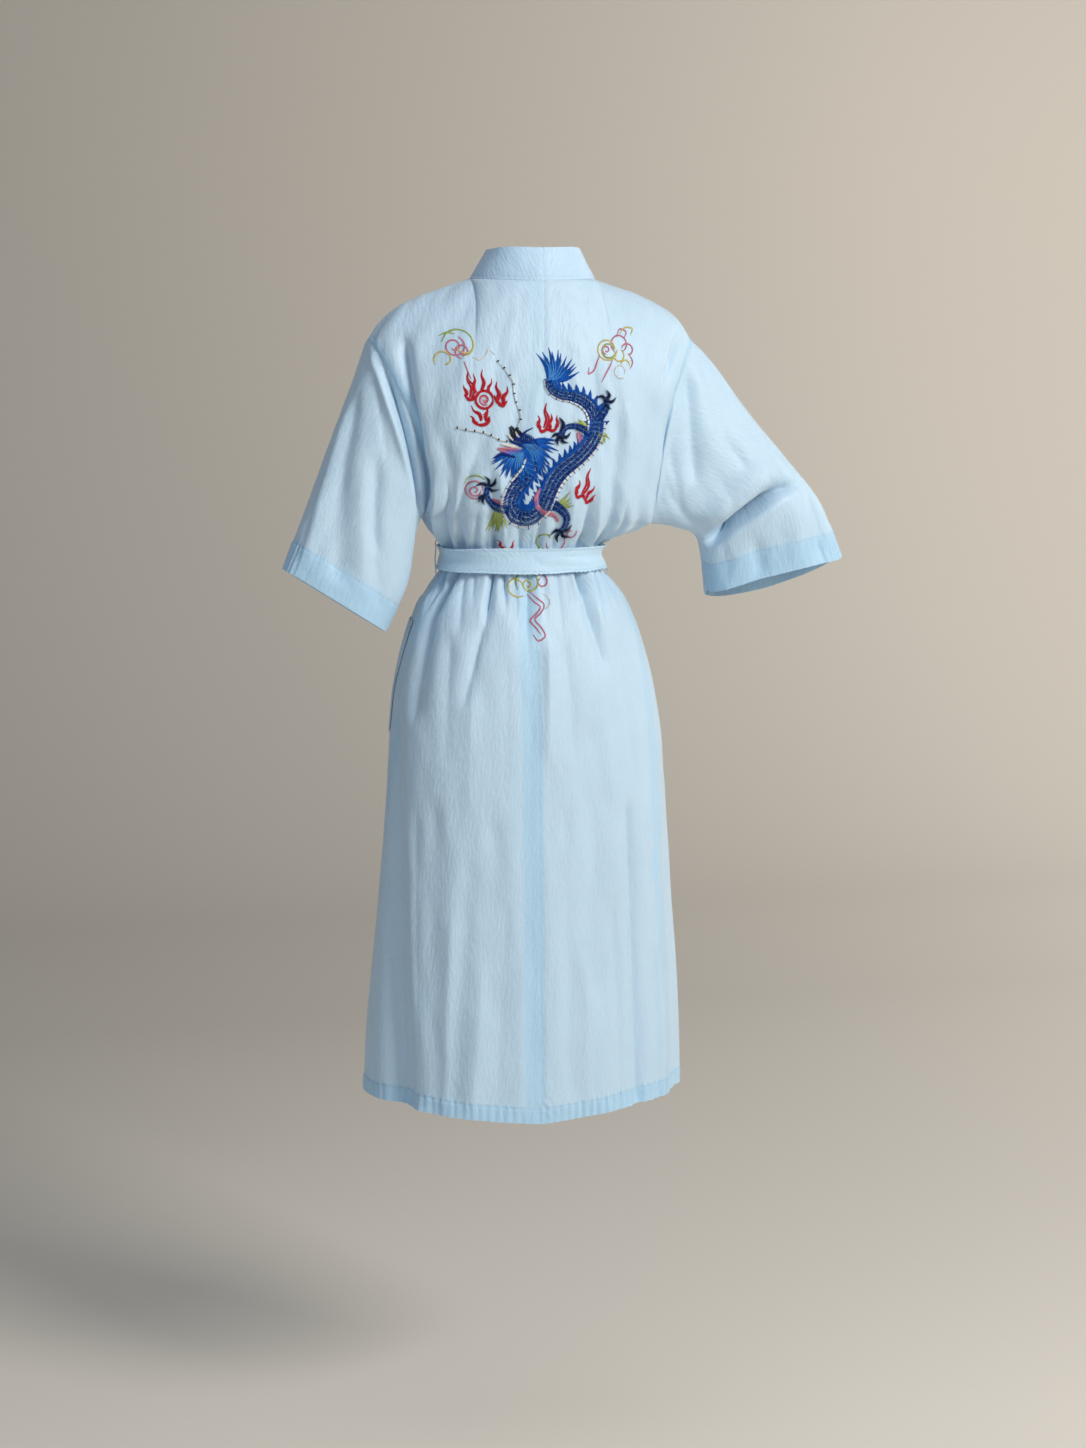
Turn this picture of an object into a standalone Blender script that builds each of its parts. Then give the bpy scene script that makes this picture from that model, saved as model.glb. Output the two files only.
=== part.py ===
"""Kimono robe, filled out as it is worn: sewn cloth panels, a two-part collar band, wide sleeves and a tied belt.

The origin is the middle of the neck at the height of the nape seam. The front faces -Y, the back +Y and the
wearer's left +X. Sizes are in millimetres and turned to metres where the meshes are made.
"""
import math

import bmesh
import bpy
import numpy as np

MM = 0.001

# Thickness of each cloth wall and the gap between sewn pieces.
CLOTH = 1.5
BAND_CLOTH = 2.0
BELT_CLOTH = 2.6
SEAM_GAP = 0.3

# Body: the neck seam, the levels that its shape changes at, and how square its sections are.
NAPE = (0.0, 65.0, 0.0)
NECK_SIDE = (85.0, -2.0, 2.0)
UNDERARM_LEVEL = -318.0
HEM_LEVEL = -1125.0
HEM_SIDE_RISE = 20.0
HEM_RISE_START = -880.0
FULLNESS = 2.3
SHOULDER_ROUND = 0.3
OVERLAP_STEP = 2.7

# Collar and front bands, with the way that the collar stands at the nape and at the side of the neck.
COLLAR_WIDTH = 44.0
FRONT_BAND_WIDTH = 48.0
BAND_STRIPS = 3
COLLAR_LEAN_BACK = (0.0, -0.22, 0.975)
COLLAR_LEAN_SIDE = (-0.5, 0.05, 0.86)

# Belt: its lift is the distance from the middle of the body cloth to the middle of the belt.
BELT_TOP = -352.0
BELT_WIDTH = 37.0
BELT_LIFT = 5.8
BELT_COLUMNS = 44
KNOT_CENTRE = (6.0, -133.2, -371.0)
KNOT_HALF = (29.0, 10.5, 22.0)
TAIL_ROWS = 12
TAIL_STRIPS = 3
LOOP_THREAD = 1.8
LOOP_SIDES = 8
LOOP_LIFT = 1.85
LOOP_END_ROWS = (12, 15)
LOOP_END_SHARE = 0.6

# Pocket: the rows and columns of the wearer's left front panel that it lies on.
POCKET_ROWS = (18, 21)
POCKET_COLUMNS = (1, 7)
POCKET_LIFT = 1.8

# Lengths that the sleeves' folds are measured by: armhole to cuff, and top fold to underarm seam.
SLEEVE_LENGTH = 330.0
SLEEVE_HALF_ROUND = 250.0
# How far the front of the right cuff hangs below its back.
RIGHT_CUFF_TILT = 30.0

# Folds fade out over this length. Seams that turn back on themselves are set further apart.
FOLD_END = 26.0
SHARPEST_SEAM = -0.87
UNDERARM_EASE = 2.0

# Fineness of the cloth, with the share of the way down the armhole of each row above the underarm.
NECK_COLUMNS = 8
SHOULDER_COLUMNS = 14
SLEEVE_RINGS = 14
YOKE_SHARES = (0, 0.025, 0.07, 0.13, 0.21, 0.31, 0.42, 0.54, 0.65, 0.76, 0.88, 1)

LEFT, RIGHT = 1, -1
BACK, FRONT = 1, -1
SIDE_NAMES = {LEFT: "left", RIGHT: "right"}

# Heights of the rows of the body below the underarm.
LOWER_LEVELS = (-335, -351, -371, -390, -403, -424, -455, -495, -545, -605, -675, -755, -845, -940, -1035,
                -1095, HEM_LEVEL)

# Seam down the shoulder, from the side of the neck to the dropped shoulder tip.
SHOULDER_SEAM = (
    # x, y, z
    (85, -2, 2),
    (122, -4, -10),
    (158, -6, -23),
    (187, -7, -38),
    (207, -8, -56),
    (223, -8, -80),
)

# Middle of the back and of the front at each level.
CENTRE_LINES = (
    # level, back x, back y, front x, front y
    (0, 0, 65, 0, -10),
    (-40, 3, 79, 0, -52),
    (-90, 6, 91, 0, -88),
    (-150, 8, 97, 0, -118),
    (-220, 9, 96, 2, -138),
    (-290, 10, 87, 4, -139),
    (-325, 10, 74, 6, -130),
    (-351, 10, 58, 6, -117),
    (-390, 12, 57, 6, -116),
    (-424, 15, 73, 6, -124),
    (-495, 17, 92, 6, -134),
    (-580, 17, 104, 6, -141),
    (-700, 17, 109, 6, -147),
    (-850, 17, 113, 6, -156),
    (-1000, 17, 118, 6, -166),
    (-1125, 17, 122, 6, -173),
)

# Outermost point of each side below the underarm.
SIDE_LINES = (
    # level, left x, left y, right x, right y
    (-318, 150, -10, -162, -10),
    (-335, 138, -16, -136, -18),
    (-351, 119, -26, -105, -30),
    (-390, 120, -28, -104, -30),
    (-403, 131, -27, -115, -30),
    (-424, 148, -25, -132, -29),
    (-455, 161, -22, -147, -26),
    (-495, 174, -18, -159, -22),
    (-545, 185, -14, -170, -17),
    (-605, 192, -10, -179, -12),
    (-675, 196, -12, -186, -10),
    (-755, 201, -18, -192, -10),
    (-845, 208, -28, -198, -12),
    (-940, 216, -40, -205, -14),
    (-1035, 224, -50, -210, -16),
    (-1125, 229, -56, -212, -18),
)

# Turn of the side seams from the middle of the back, in degrees round the section.
SIDE_SEAM_TURN = (
    # level, left, right
    (-318, 90, 90),
    (-351, 90, 86),
    (-390, 88, 80),
    (-455, 80, 68),
    (-560, 86, 60),
    (-700, 92, 57),
    (-1125, 98, 57),
)

# Edge of each front panel, where the band is sewn on. The other front's is its mirror image.
FRONT_EDGE = (
    # level, x on the wearer's left panel
    (0, 85),
    (-40, 77),
    (-90, 61),
    (-150, 41),
    (-220, 17),
    (-290, -6),
    (-351, -26),
    (-390, -32),
    (-495, -42),
    (-700, -52),
    (-900, -60),
    (-1125, -68),
)

# Where each sleeve joins the body: its underarm point, how far its seam bows in, and its depths.
ARMHOLES = {
    LEFT: {"under": (150, -10, -308), "bow": 1.7, "back_depth": 54, "front_depth": 58},
    RIGHT: {"under": (-162, -10, -328), "bow": 2.6, "back_depth": 54, "front_depth": 58},
}

# Top fold and underarm seam of each sleeve, from the armhole to the cuff.
SLEEVE_LINES = {
    LEFT: (
        # share, top x, top y, top z, under x, under y, under z, back depth, front depth
        (0.0, 223, -8, -80, 150, -10, -308, 54, 58),
        (0.12, 236, -8, -118, 156, -9, -318, 55, 58),
        (0.3, 257, -7, -172, 163, -8, -338, 54, 56),
        (0.5, 283, -6, -238, 166, -6, -371, 51, 53),
        (0.75, 312, -5, -311, 179, -4, -418, 47, 49),
        (1.0, 339, -4, -380, 205, -2, -465, 42, 46),
    ),
    RIGHT: (
        (0.0, -223, -8, -80, -162, -10, -328, 54, 58),
        (0.15, -256, -8, -114, -182, -12, -329, 55, 57),
        (0.35, -297, -6, -169, -209, -16, -335, 54, 56),
        (0.55, -348, -2, -231, -238, -22, -346, 52, 56),
        (0.78, -405, 4, -299, -252, -30, -380, 48, 56),
        (1.0, -436, 8, -373, -259, -34, -421, 42, 54),
    ),
}
# The thread loops on the side seams, between their ends on the cloth above and below the belt.
BELT_LOOP = (
    # level, distance out from the seam
    (-351, 10.4),
    (-356, 13.2),
    (-363, 15.0),
    (-370, 15.6),
    (-378, 14.8),
    (-386, 12.6),
    (-391, 10.2),
)
# The hanging ends of the belt, from the knot down.
TAIL_LEFT = (
    # share, x, level, tilt in degrees, distance out, width
    (0, 19, -395.5, 7, 7.5, 20),
    (0.1, 26, -426, 8, 6.4, 31),
    (0.25, 35, -472, 9, 5.6, 37),
    (0.6, 47, -578, 6, 5.4, 37),
    (1, 54, -702, 4, 5.4, 37),
)
TAIL_RIGHT = (
    (0, -6, -395.5, -6, 7.5, 20),
    (0.1, -12, -424, -7, 6.4, 31),
    (0.25, -19, -464, -7, 5.8, 37),
    (0.6, -29, -560, -5, 5.6, 37),
    (1, -36, -668, -3, 5.6, 37),
)

# Largest folds of the body, each from one end to the other. Around is the distance along the cloth from the
# middle of the back, to the wearer's left; level is the height. Depths are those at the two ends.
BODY_FOLDS = (
    # around 1, level 1, around 2, level 2, width 1, width 2, depth 1, depth 2
    (133, -261, 128, -356, 9, 6, -3, -6),
    (139, -202, 97, -356, 14, 7, -5, -9),
    (73, -247, 52, -356, 12, 7, -3, -5),
    (30, -274, 19, -356, 8, 6, -2, -4),
    (0, -286, -7, -356, 7, 6, -2, -4),
    (-69, -276, -65, -356, 9, 6, -3, -6),
    (-111, -145, -102, -358, 14, 8, -5, -10),
    (-165, -150, -151, -336, 13, 14, -5, -7),
    (86, -202, 111, -288, 12, 9, -3, -4),
    (-206, -71, -179, -139, 7, 8, -4, -4),
    (145, -72, 154, -209, 16, 18, -4, -5),
    (188, -76, 177, -290, 12, 12, -8, -8),
    (105, -380, 147, -446, 7, 10, -8, -8),
    (144, -438, 178, -582, 10, 16, -8, -4),
    (128, -384, 162, -438, 6, 9, -5, -3),
    (52, -382, 67, -450, 6, 8, -7, -5),
    (66, -442, 100, -558, 8, 14, -5, -3),
    (40, -380, 39, -434, 5, 7, -5, -3),
    (-63, -382, -75, -422, 6, 8, -7, -6),
    (-72, -418, -102, -518, 8, 13, -6, -3),
    (-122, -380, -142, -430, 6, 9, -6, -3),
    (5, -380, 12, -474, 6, 9, -4, -2),
    (-95, -382, -108, -450, 6, 9, -4, -2),
    (146, -686, 147, -1125, 16, 20, -3, -5),
    (94, -765, 123, -1110, 14, 18, -3, -5),
    (58, -710, 73, -980, 16, 20, -3, -3),
    (-130, -694, -148, -1125, 12, 16, -4, -6),
    (-72, -582, -83, -963, 18, 22, -3, -3),
    (-17, -474, -12, -634, 10, 12, 3, 2),
    (221, -562, 209, -1125, 14, 26, -6, -24),
    (-215, -640, -235, -1125, 16, 24, -3, -9),
    (330, -560, 345, -1125, 18, 26, -4, -10),
)

# Largest folds of both fronts, which lie on each other, by x and level.
FRONT_FOLDS = (
    # x 1, level 1, x 2, level 2, width 1, width 2, depth 1, depth 2
    (104, -205, 90, -356, 13, 9, -3, -6),
    (62, -215, 56, -356, 15, 13, -2, -4),
    (-92, -205, -80, -356, 13, 10, -3, -6),
    (-54, -215, -44, -356, 15, 13, -2, -4),
    (88, -382, 102, -520, 9, 14, -6, -3),
    (58, -382, 66, -500, 12, 16, -4, -2),
    (-80, -382, -98, -520, 10, 15, -5, -3),
    (-46, -382, -56, -500, 12, 16, -4, -2),
    (122, -620, 136, -1125, 18, 24, -3, -8),
    (66, -700, 74, -1125, 20, 26, -2, -5),
    (-148, -600, -166, -1125, 18, 24, -3, -8),
    (-92, -640, -102, -1125, 20, 26, -3, -6),
)

# Largest folds of each sleeve. Along is the distance from the armhole, and round is the distance from the
# top fold by the back, less than 0 by the front.
SLEEVE_FOLDS = {
    LEFT: (
        # along 1, round 1, along 2, round 2, width 1, width 2, depth 1, depth 2
        (4, 62, 52, 195, 10, 13, -7, -8),
        (66, 28, 300, 111, 14, 20, -5, -8),
        (107, 104, 220, 145, 10, 12, -4, -3),
        (8, 25, 62, 140, 9, 12, 3, 4),
        (154, 63, 300, 70, 14, 18, -2, -3),
        (70, -60, 310, -105, 16, 22, -4, -8),
        (20, -120, 180, -180, 12, 18, -5, -4),
    ),
    RIGHT: (
        (218, 50, 202, 110, 7, 11, -6, -12),
        (205, 98, 208, 228, 11, 14, -18, -26),
        (182, 58, 152, 190, 15, 20, 5, 12),
        (4, 60, 99, 146, 12, 16, -5, -6),
        (107, 89, 151, 101, 8, 8, -3, -3),
        (6, 98, 8, 190, 9, 12, 3, 3),
        (239, 41, 330, 76, 12, 14, -3, -3),
        (248, 149, 330, 149, 12, 14, -3, -4),
        (60, -70, 250, -150, 16, 20, -6, -5),
        (215, -90, 330, -120, 14, 20, -4, -6),
    ),
}


def smooth(table, at):
    """Values of a table's other columns at points of its first, on a smooth curve through its rows."""
    rows = np.array(table, float)
    rows = rows[np.argsort(rows[:, 0])]
    keys, values = rows[:, 0], rows[:, 1:]
    slopes = np.gradient(values, keys, axis=0)
    at = np.clip(np.asarray(at, float), keys[0], keys[-1])
    low = np.clip(np.searchsorted(keys, at) - 1, 0, len(keys) - 2)
    span = (keys[low + 1] - keys[low])[..., None]
    t = (at - keys[low])[..., None] / span
    return ((1 + 2 * t) * (1 - t) ** 2 * values[low] + t * (1 - t) ** 2 * span * slopes[low]
            + t * t * (3 - 2 * t) * values[low + 1] - t * t * (1 - t) * span * slopes[low + 1])


def ease(start, end, at):
    """0 before start, 1 after end and a smooth step between them."""
    t = np.clip((np.asarray(at, float) - start) / (end - start), 0, 1)
    return t * t * (3 - 2 * t)


def armhole(side, share, face):
    """Points of the armhole seam, from the shoulder tip at share 0 to the underarm at 1."""
    hole = ARMHOLES[side]
    tip = np.array(SHOULDER_SEAM[-1], float) * (side, 1, 1)
    under = np.array(hole["under"], float)
    share = np.asarray(share, float)
    height = (1 + np.cos(math.pi * share)) / 2
    depth = hole["back_depth"] if face == BACK else hole["front_depth"]
    x = under[0] + (tip[0] - under[0]) * height ** hole["bow"]
    y = under[1] + (tip[1] - under[1]) * height + face * depth * np.sin(math.pi * share) ** 0.8
    z = under[2] + (tip[2] - under[2]) * height
    return np.stack([x, y, z], -1)


def section(turn, centre_back, centre_front, left, right):
    """Points round one row. Turn is in radians from the middle of the back, towards the wearer's left."""
    across, along = np.sin(turn), np.cos(turn)
    bulge = 2 / FULLNESS
    reach, depth = np.abs(across) ** bulge, np.abs(along) ** bulge
    centre = np.where((along > 0)[..., None], centre_back, centre_front)
    side = np.where((across > 0)[..., None], left, right)
    share = np.stack([reach, 1 - depth, reach], -1)
    return centre + (side - centre) * share


def side_points(side, level):
    """Outermost points of one side below the underarm."""
    lines = smooth(SIDE_LINES, level)
    columns = (0, 1) if side == LEFT else (2, 3)
    x, y = lines[..., columns[0]], lines[..., columns[1]]
    fade = 1 - ease(UNDERARM_LEVEL, BELT_TOP, level)
    drop = ARMHOLES[side]["under"][2] - UNDERARM_LEVEL
    rise = HEM_SIDE_RISE * ease(HEM_RISE_START, HEM_LEVEL, level)
    return np.stack([x, y, level + drop * fade + rise], -1)


def row_frame(levels, shares):
    """Middle points of the back and front of each row, and its side points on each side and face."""
    lines = smooth(CENTRE_LINES, levels)
    centre_back = np.stack([lines[..., 0], lines[..., 1], levels], -1)
    centre_front = np.stack([lines[..., 2], lines[..., 3], levels], -1)
    above = (shares < 1)[..., None]
    sides = {}
    for side in (LEFT, RIGHT):
        low = side_points(side, np.minimum(levels, UNDERARM_LEVEL))
        for face in (BACK, FRONT):
            sides[side, face] = np.where(above, armhole(side, np.minimum(shares, 1), face), low)
    return centre_back, centre_front, sides


def body_rows(yoke_shares=YOKE_SHARES, lower=LOWER_LEVELS):
    """Level of each row, and its share of the way down the armhole, which is 1 below the underarm."""
    shares = np.concatenate([yoke_shares, np.ones(len(lower))])
    levels = np.concatenate([np.array(yoke_shares) * UNDERARM_LEVEL, np.array(lower, float)])
    return levels, shares


def round_over(start_to_end):
    """Rises from 0 to 1 like the edge of a rounded shoulder, steep at first."""
    left = 1 - np.clip(start_to_end, 0, 1)
    return np.sqrt(1 - left * left)


def over_shoulder(yoke, wrapped, shares):
    """Joins the shape under the shoulder seam to the shape round the body, over a rounded shoulder."""
    deep = round_over(shares / SHOULDER_ROUND)
    blend = np.stack([ease(0, 0.6, shares), deep, ease(0, 0.4, shares)], -1)[:, None]
    return np.where((shares < 1)[:, None, None], yoke + (wrapped - yoke) * blend, wrapped)


def shoulder_points(side, shares):
    """Points of the shoulder seam, from the side of the neck at 0 to the tip at 1."""
    seam = np.array(SHOULDER_SEAM, float)
    steps = np.concatenate([[0], np.cumsum(np.linalg.norm(np.diff(seam, axis=0), axis=1))])
    table = np.column_stack([steps / steps[-1], seam])
    return smooth(table, shares) * (side, 1, 1)


def back_panel(side, rows, neck_columns=NECK_COLUMNS, shoulder_columns=SHOULDER_COLUMNS):
    """Middle surface of one back panel: rows from the neck down, columns from the centre seam to the side."""
    levels, shares = rows
    centre_back, centre_front, sides = row_frame(levels, shares)
    columns = neck_columns + shoulder_columns
    along = np.linspace(0, 1, columns + 1)
    seam_turn = np.radians(smooth(SIDE_SEAM_TURN, levels)[:, 0 if side == LEFT else 1])
    turn = side * along[None, :] * seam_turn[:, None]
    wrapped = section(turn, centre_back[:, None], centre_front[:, None],
                      sides[LEFT, BACK][:, None], sides[RIGHT, BACK][:, None])
    quarter = np.linspace(0, math.pi / 2, neck_columns + 1)[:-1]
    neck = np.stack([NECK_SIDE[0] * np.sin(quarter) * side,
                     NECK_SIDE[1] + (NAPE[1] - NECK_SIDE[1]) * np.cos(quarter),
                     NECK_SIDE[2] * np.sin(quarter) ** 2], -1)
    top = np.concatenate([neck, shoulder_points(side, np.linspace(0, 1, shoulder_columns + 1))])
    shape = (top - top[0]) / (top[-1] - top[0])
    yoke = wrapped[:, :1] + (wrapped[:, -1:] - wrapped[:, :1]) * shape[None]
    return over_shoulder(yoke, wrapped, shares)


def front_panel(side, rows, shoulder_columns=SHOULDER_COLUMNS, band_columns=0):
    """Middle surface of one front panel: rows from the shoulder down, columns from the side to the edge.

    With band columns it is the strip past that edge, for the width of the band.
    """
    levels, shares = rows
    centre_back, centre_front, sides = row_frame(levels, shares)
    seam_turn = np.radians(smooth(SIDE_SEAM_TURN, levels)[:, 0 if side == LEFT else 1])
    seam_turn = np.where(shares < 1, math.pi / 2, seam_turn)
    edge = smooth(FRONT_EDGE, levels)[:, 0] * side
    centre_x = centre_front[:, 0]

    def turn_of(x):
        near = np.where((x - centre_x) * side > 0, sides[side, FRONT][:, 0], sides[-side, FRONT][:, 0])
        reach = np.clip(np.abs((x - centre_x) / (near - centre_x)), 0, 1)
        tilt = np.arcsin(reach ** (FULLNESS / 2)) * np.sign((x - centre_x) * side)
        return side * (math.pi - tilt)

    along = np.linspace(0, 1, shoulder_columns + 1)
    start, end = side * seam_turn, turn_of(edge)
    turn = start[:, None] + (end - start)[:, None] * along[None]
    if band_columns:
        past = turn_of(edge - side * FRONT_BAND_WIDTH)
        steps = np.linspace(0, 1, band_columns + 1)
        turn = end[:, None] + (past - end)[:, None] * steps[None]
    wrapped = section(turn, centre_back[:, None], centre_front[:, None],
                      sides[LEFT, FRONT][:, None], sides[RIGHT, FRONT][:, None])
    top = shoulder_points(side, np.linspace(1, 0, shoulder_columns + 1))
    if band_columns:
        edge_points = front_panel(side, rows, shoulder_columns)[:, -1:]
        return edge_points + (wrapped - wrapped[:, :1])
    shape = (top - top[0]) / (top[-1] - top[0])
    target = wrapped[:, -1:].copy()
    target[0, 0] = top[-1]
    tied = wrapped[:, :1] + (target - wrapped[:, :1]) * shape[None]
    return over_shoulder(tied, wrapped, shares)


def sleeve_surface(side, rings=SLEEVE_RINGS, yoke_shares=YOKE_SHARES):
    """Middle surface of one sleeve: rings from the armhole to the cuff, columns round the arm from the top.

    The columns meet those of the panels' rows at the armhole.
    """
    share = np.linspace(0, 1, rings + 1)
    half_columns = len(yoke_shares) - 1
    lines = smooth(SLEEVE_LINES[side], share)
    top, under = lines[:, None, 0:3], lines[:, None, 3:6]
    back_depth, front_depth = lines[:, None, 6], lines[:, None, 7]
    down = np.array(yoke_shares, float)
    down = np.concatenate([down, down[-2:0:-1]])
    face = np.concatenate([np.ones(half_columns + 1), -np.ones(half_columns - 1)])
    height = (1 + np.cos(math.pi * down)) / 2
    bow = 1 + (ARMHOLES[side]["bow"] - 1) * (1 - ease(0, 0.5, share))[:, None]
    point = under + (top - under) * height[None, :, None]
    point[..., 0] = (under + (top - under) * (height[None, :] ** bow)[..., None])[..., 0]
    depth = np.where(face > 0, back_depth, front_depth)
    swell = np.sin(math.pi * down)[None] ** 0.8
    point[..., 1] += face[None] * depth * swell
    if side == RIGHT:
        tilt = RIGHT_CUFF_TILT * ease(0.45, 1, share)[:, None]
        point[..., 2] -= tilt * (1 - face[None] * swell) / 2 * np.sin(math.pi * down)[None] ** 0.5
    return point


def fold_depth(folds, along, across):
    """Sum of soft folds at points of the cloth. A trough has negative depths."""
    total = np.zeros(np.shape(along))
    for along_1, across_1, along_2, across_2, width_1, width_2, depth_1, depth_2 in folds:
        run, rise = along_2 - along_1, across_2 - across_1
        length = math.hypot(run, rise)
        t = ((along - along_1) * run + (across - across_1) * rise) / length ** 2
        off = ((along - along_1) * rise - (across - across_1) * run) / length
        end = min(FOLD_END / length, 0.5)
        share = np.clip(t, 0, 1)
        width = width_1 + (width_2 - width_1) * share
        depth = depth_1 + (depth_2 - depth_1) * share
        ends = ease(-end / 2, end, t) * (1 - ease(1 - end, 1 + end / 2, t))
        total += depth * ends * np.exp(-(off / width) ** 2)
    return total


def row_distance(points, start):
    """Distance along each row from its first column, after a start value."""
    steps = np.linalg.norm(np.diff(points, axis=1), axis=2)
    return start[:, None] + np.concatenate([np.zeros((len(points), 1)), np.cumsum(steps, axis=1)], axis=1)


def own_normals(piece):
    """Unit normals from a piece's own points only."""
    grid = piece["now"]
    if piece["closed"]:
        across = np.roll(grid, -1, axis=1) - np.roll(grid, 1, axis=1)
    else:
        across = np.gradient(grid, axis=1)
    normal = np.cross(np.gradient(grid, axis=0), across) * piece["outward"]
    return normal / np.maximum(np.linalg.norm(normal, axis=-1, keepdims=True), 1e-9)


def number_points(pieces):
    """Numbers the points of the cloth, with one number where pieces are sewn together. Returns the count."""
    points = np.concatenate([piece["base"].reshape(-1, 3) for piece in pieces])
    keys, numbers = np.unique(np.round(points, 2), axis=0, return_inverse=True)
    start = 0
    for piece in pieces:
        size = piece["base"].size // 3
        piece["ids"] = numbers.reshape(-1)[start:start + size].reshape(piece["base"].shape[:2])
        start += size
    return len(keys)


def shared_mean(pieces, name, count):
    """Mean of the pieces' values at each numbered point."""
    width = pieces[0][name].reshape(pieces[0]["ids"].size, -1).shape[1]
    total, uses = np.zeros((count, width)), np.zeros((count, 1))
    for piece in pieces:
        ids = piece["ids"].reshape(-1)
        np.add.at(total, ids, piece[name].reshape(len(ids), -1))
        np.add.at(uses, ids, 1)
    return total / uses


def find_normals(pieces, count):
    """Normals shared at the seams, and how far each wall is set back where a seam is a sharp fold."""
    for piece in pieces:
        piece["own"] = own_normals(piece)
    shared = shared_mean(pieces, "own", count)
    shared /= np.maximum(np.linalg.norm(shared, axis=1, keepdims=True), 1e-9)
    for piece in pieces:
        own = piece["own"]
        piece["normal"] = shared[piece["ids"]]
        turn = np.ones(piece["ids"].size)
        for other in pieces:
            if other is not piece:
                _, here, there = np.intersect1d(piece["ids"], other["ids"], return_indices=True)
                product = (own.reshape(-1, 3)[here] * other["own"].reshape(-1, 3)[there]).sum(-1)
                turn[here] = np.minimum(turn[here], product)
        turn = np.maximum(turn, SHARPEST_SEAM).reshape(piece["ids"].shape)
        half = np.sqrt((1 + turn) / 2)
        sharp = ease(math.cos(math.radians(30)), math.cos(math.radians(48)), half)
        bisector = piece["normal"] / np.maximum(half, 0.6)[..., None]
        piece["step"] = bisector * (1 - sharp[..., None]) + own * sharp[..., None]
        piece["setback"] = sharp * np.sqrt((1 - turn) / (1 + turn))


def sew(pieces):
    """Moves every piece's points out by its folds, together at the seams, and gives them shared normals."""
    count = number_points(pieces)
    for piece in pieces:
        piece["now"] = piece["base"]
    find_normals(pieces, count)
    moved = shared_mean(pieces, "fold", count)
    for piece in pieces:
        piece["now"] = piece["base"] + piece["normal"] * moved[piece["ids"]]
    find_normals(pieces, count)


def trimmed(grid, piece, edges, thickness):
    """Points drawn back from the sewn edges by half the seam gap, further where a seam is a sharp fold."""
    back = SEAM_GAP / 2 + piece["setback"] * thickness / 2 + piece.get("eased", 0)
    source = grid
    grid = grid.copy()
    places = {"top": (np.s_[0], np.s_[1]), "bottom": (np.s_[-1], np.s_[-2]),
              "first": (np.s_[:, 0], np.s_[:, 1]), "last": (np.s_[:, -1], np.s_[:, -2])}
    for name in edges:
        at, inner = places[name]
        line = source[at]
        if piece["closed"]:
            tangent = np.roll(line, -1, axis=0) - np.roll(line, 1, axis=0)
        else:
            tangent = np.gradient(line, axis=0)
        way = np.cross(piece["own"][at], tangent)
        way *= np.sign((way * (source[inner] - line)).sum(-1, keepdims=True))
        grid[at] += way / np.linalg.norm(way, axis=-1, keepdims=True) * back[at][..., None]
    return grid


def cloth_solid(name, piece, thickness, material, edges, lift=0.0):
    """A closed cloth wall on both sides of a piece's points, made of triangles."""
    centre = piece["now"] + piece["normal"] * lift
    step = piece["step"] * thickness / 2
    outer = trimmed(centre + step, piece, edges, thickness) * MM
    inner = trimmed(centre - step, piece, edges, thickness) * MM
    rows, columns = outer.shape[:2]
    mesh = bmesh.new()
    outside, inside = [[[mesh.verts.new(point) for point in row] for row in skin] for skin in (outer, inner)]
    quads = []
    for j in range(columns if piece["closed"] else columns - 1):
        k = (j + 1) % columns
        for i in range(rows - 1):
            quads.append((outside[i][j], outside[i + 1][j], outside[i + 1][k], outside[i][k]))
            quads.append((inside[i + 1][k], inside[i + 1][j], inside[i][j], inside[i][k]))
        quads.append((inside[0][j], outside[0][j], outside[0][k], inside[0][k]))
        quads.append((outside[-1][j], inside[-1][j], inside[-1][k], outside[-1][k]))
    if not piece["closed"]:
        for i in range(rows - 1):
            quads.append((outside[i][0], inside[i][0], inside[i + 1][0], outside[i + 1][0]))
            quads.append((inside[i][-1], outside[i][-1], outside[i + 1][-1], inside[i + 1][-1]))
    for a, b, c, d in quads:
        for corners in ((a, b, c), (a, c, d)):
            mesh.faces.new(corners if piece["outward"] > 0 else corners[::-1])
    finish_mesh(name, mesh, material)


def finish_mesh(name, mesh, material):
    """Turns a bmesh into a named, smooth shaded object in the robe's collection."""
    data = bpy.data.meshes.new(name)
    mesh.to_mesh(data)
    mesh.free()
    data.materials.append(material)
    data.shade_smooth()
    data.set_sharp_from_angle(angle=math.radians(50))
    robe.objects.link(bpy.data.objects.new(name, data))


def cloth_material(name, colour, roughness):
    """A cloth's colour and roughness."""
    material = bpy.data.materials.new(name)
    material.use_nodes = True
    shader = material.node_tree.nodes["Principled BSDF"]
    shader.inputs["Base Color"].default_value = (*colour, 1)
    shader.inputs["Roughness"].default_value = roughness
    shader.inputs["Metallic"].default_value = 0
    return material


def piece_of(base, fold, outward, closed=False):
    """A piece of cloth: its points before folding, how far its folds move them, and which way it faces."""
    return {"base": base, "fold": fold, "outward": outward, "closed": closed}


def overlap_offset(side, base):
    """The wearer's left front lies over the right one, so they step apart where they overlap."""
    toward = 1 - ease(60, 120, base[..., 0] * side)
    low = 1 - ease(-105, -55, base[..., 2])
    return side * OVERLAP_STEP * toward * low


def front_fold(side, base):
    """Folds of one front and its band, with the step where the fronts overlap."""
    folds = fold_depth(FRONT_FOLDS, base[..., 0], base[..., 2])
    return overlap_offset(side, base) + folds * (base[..., 1] < 0)


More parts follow.
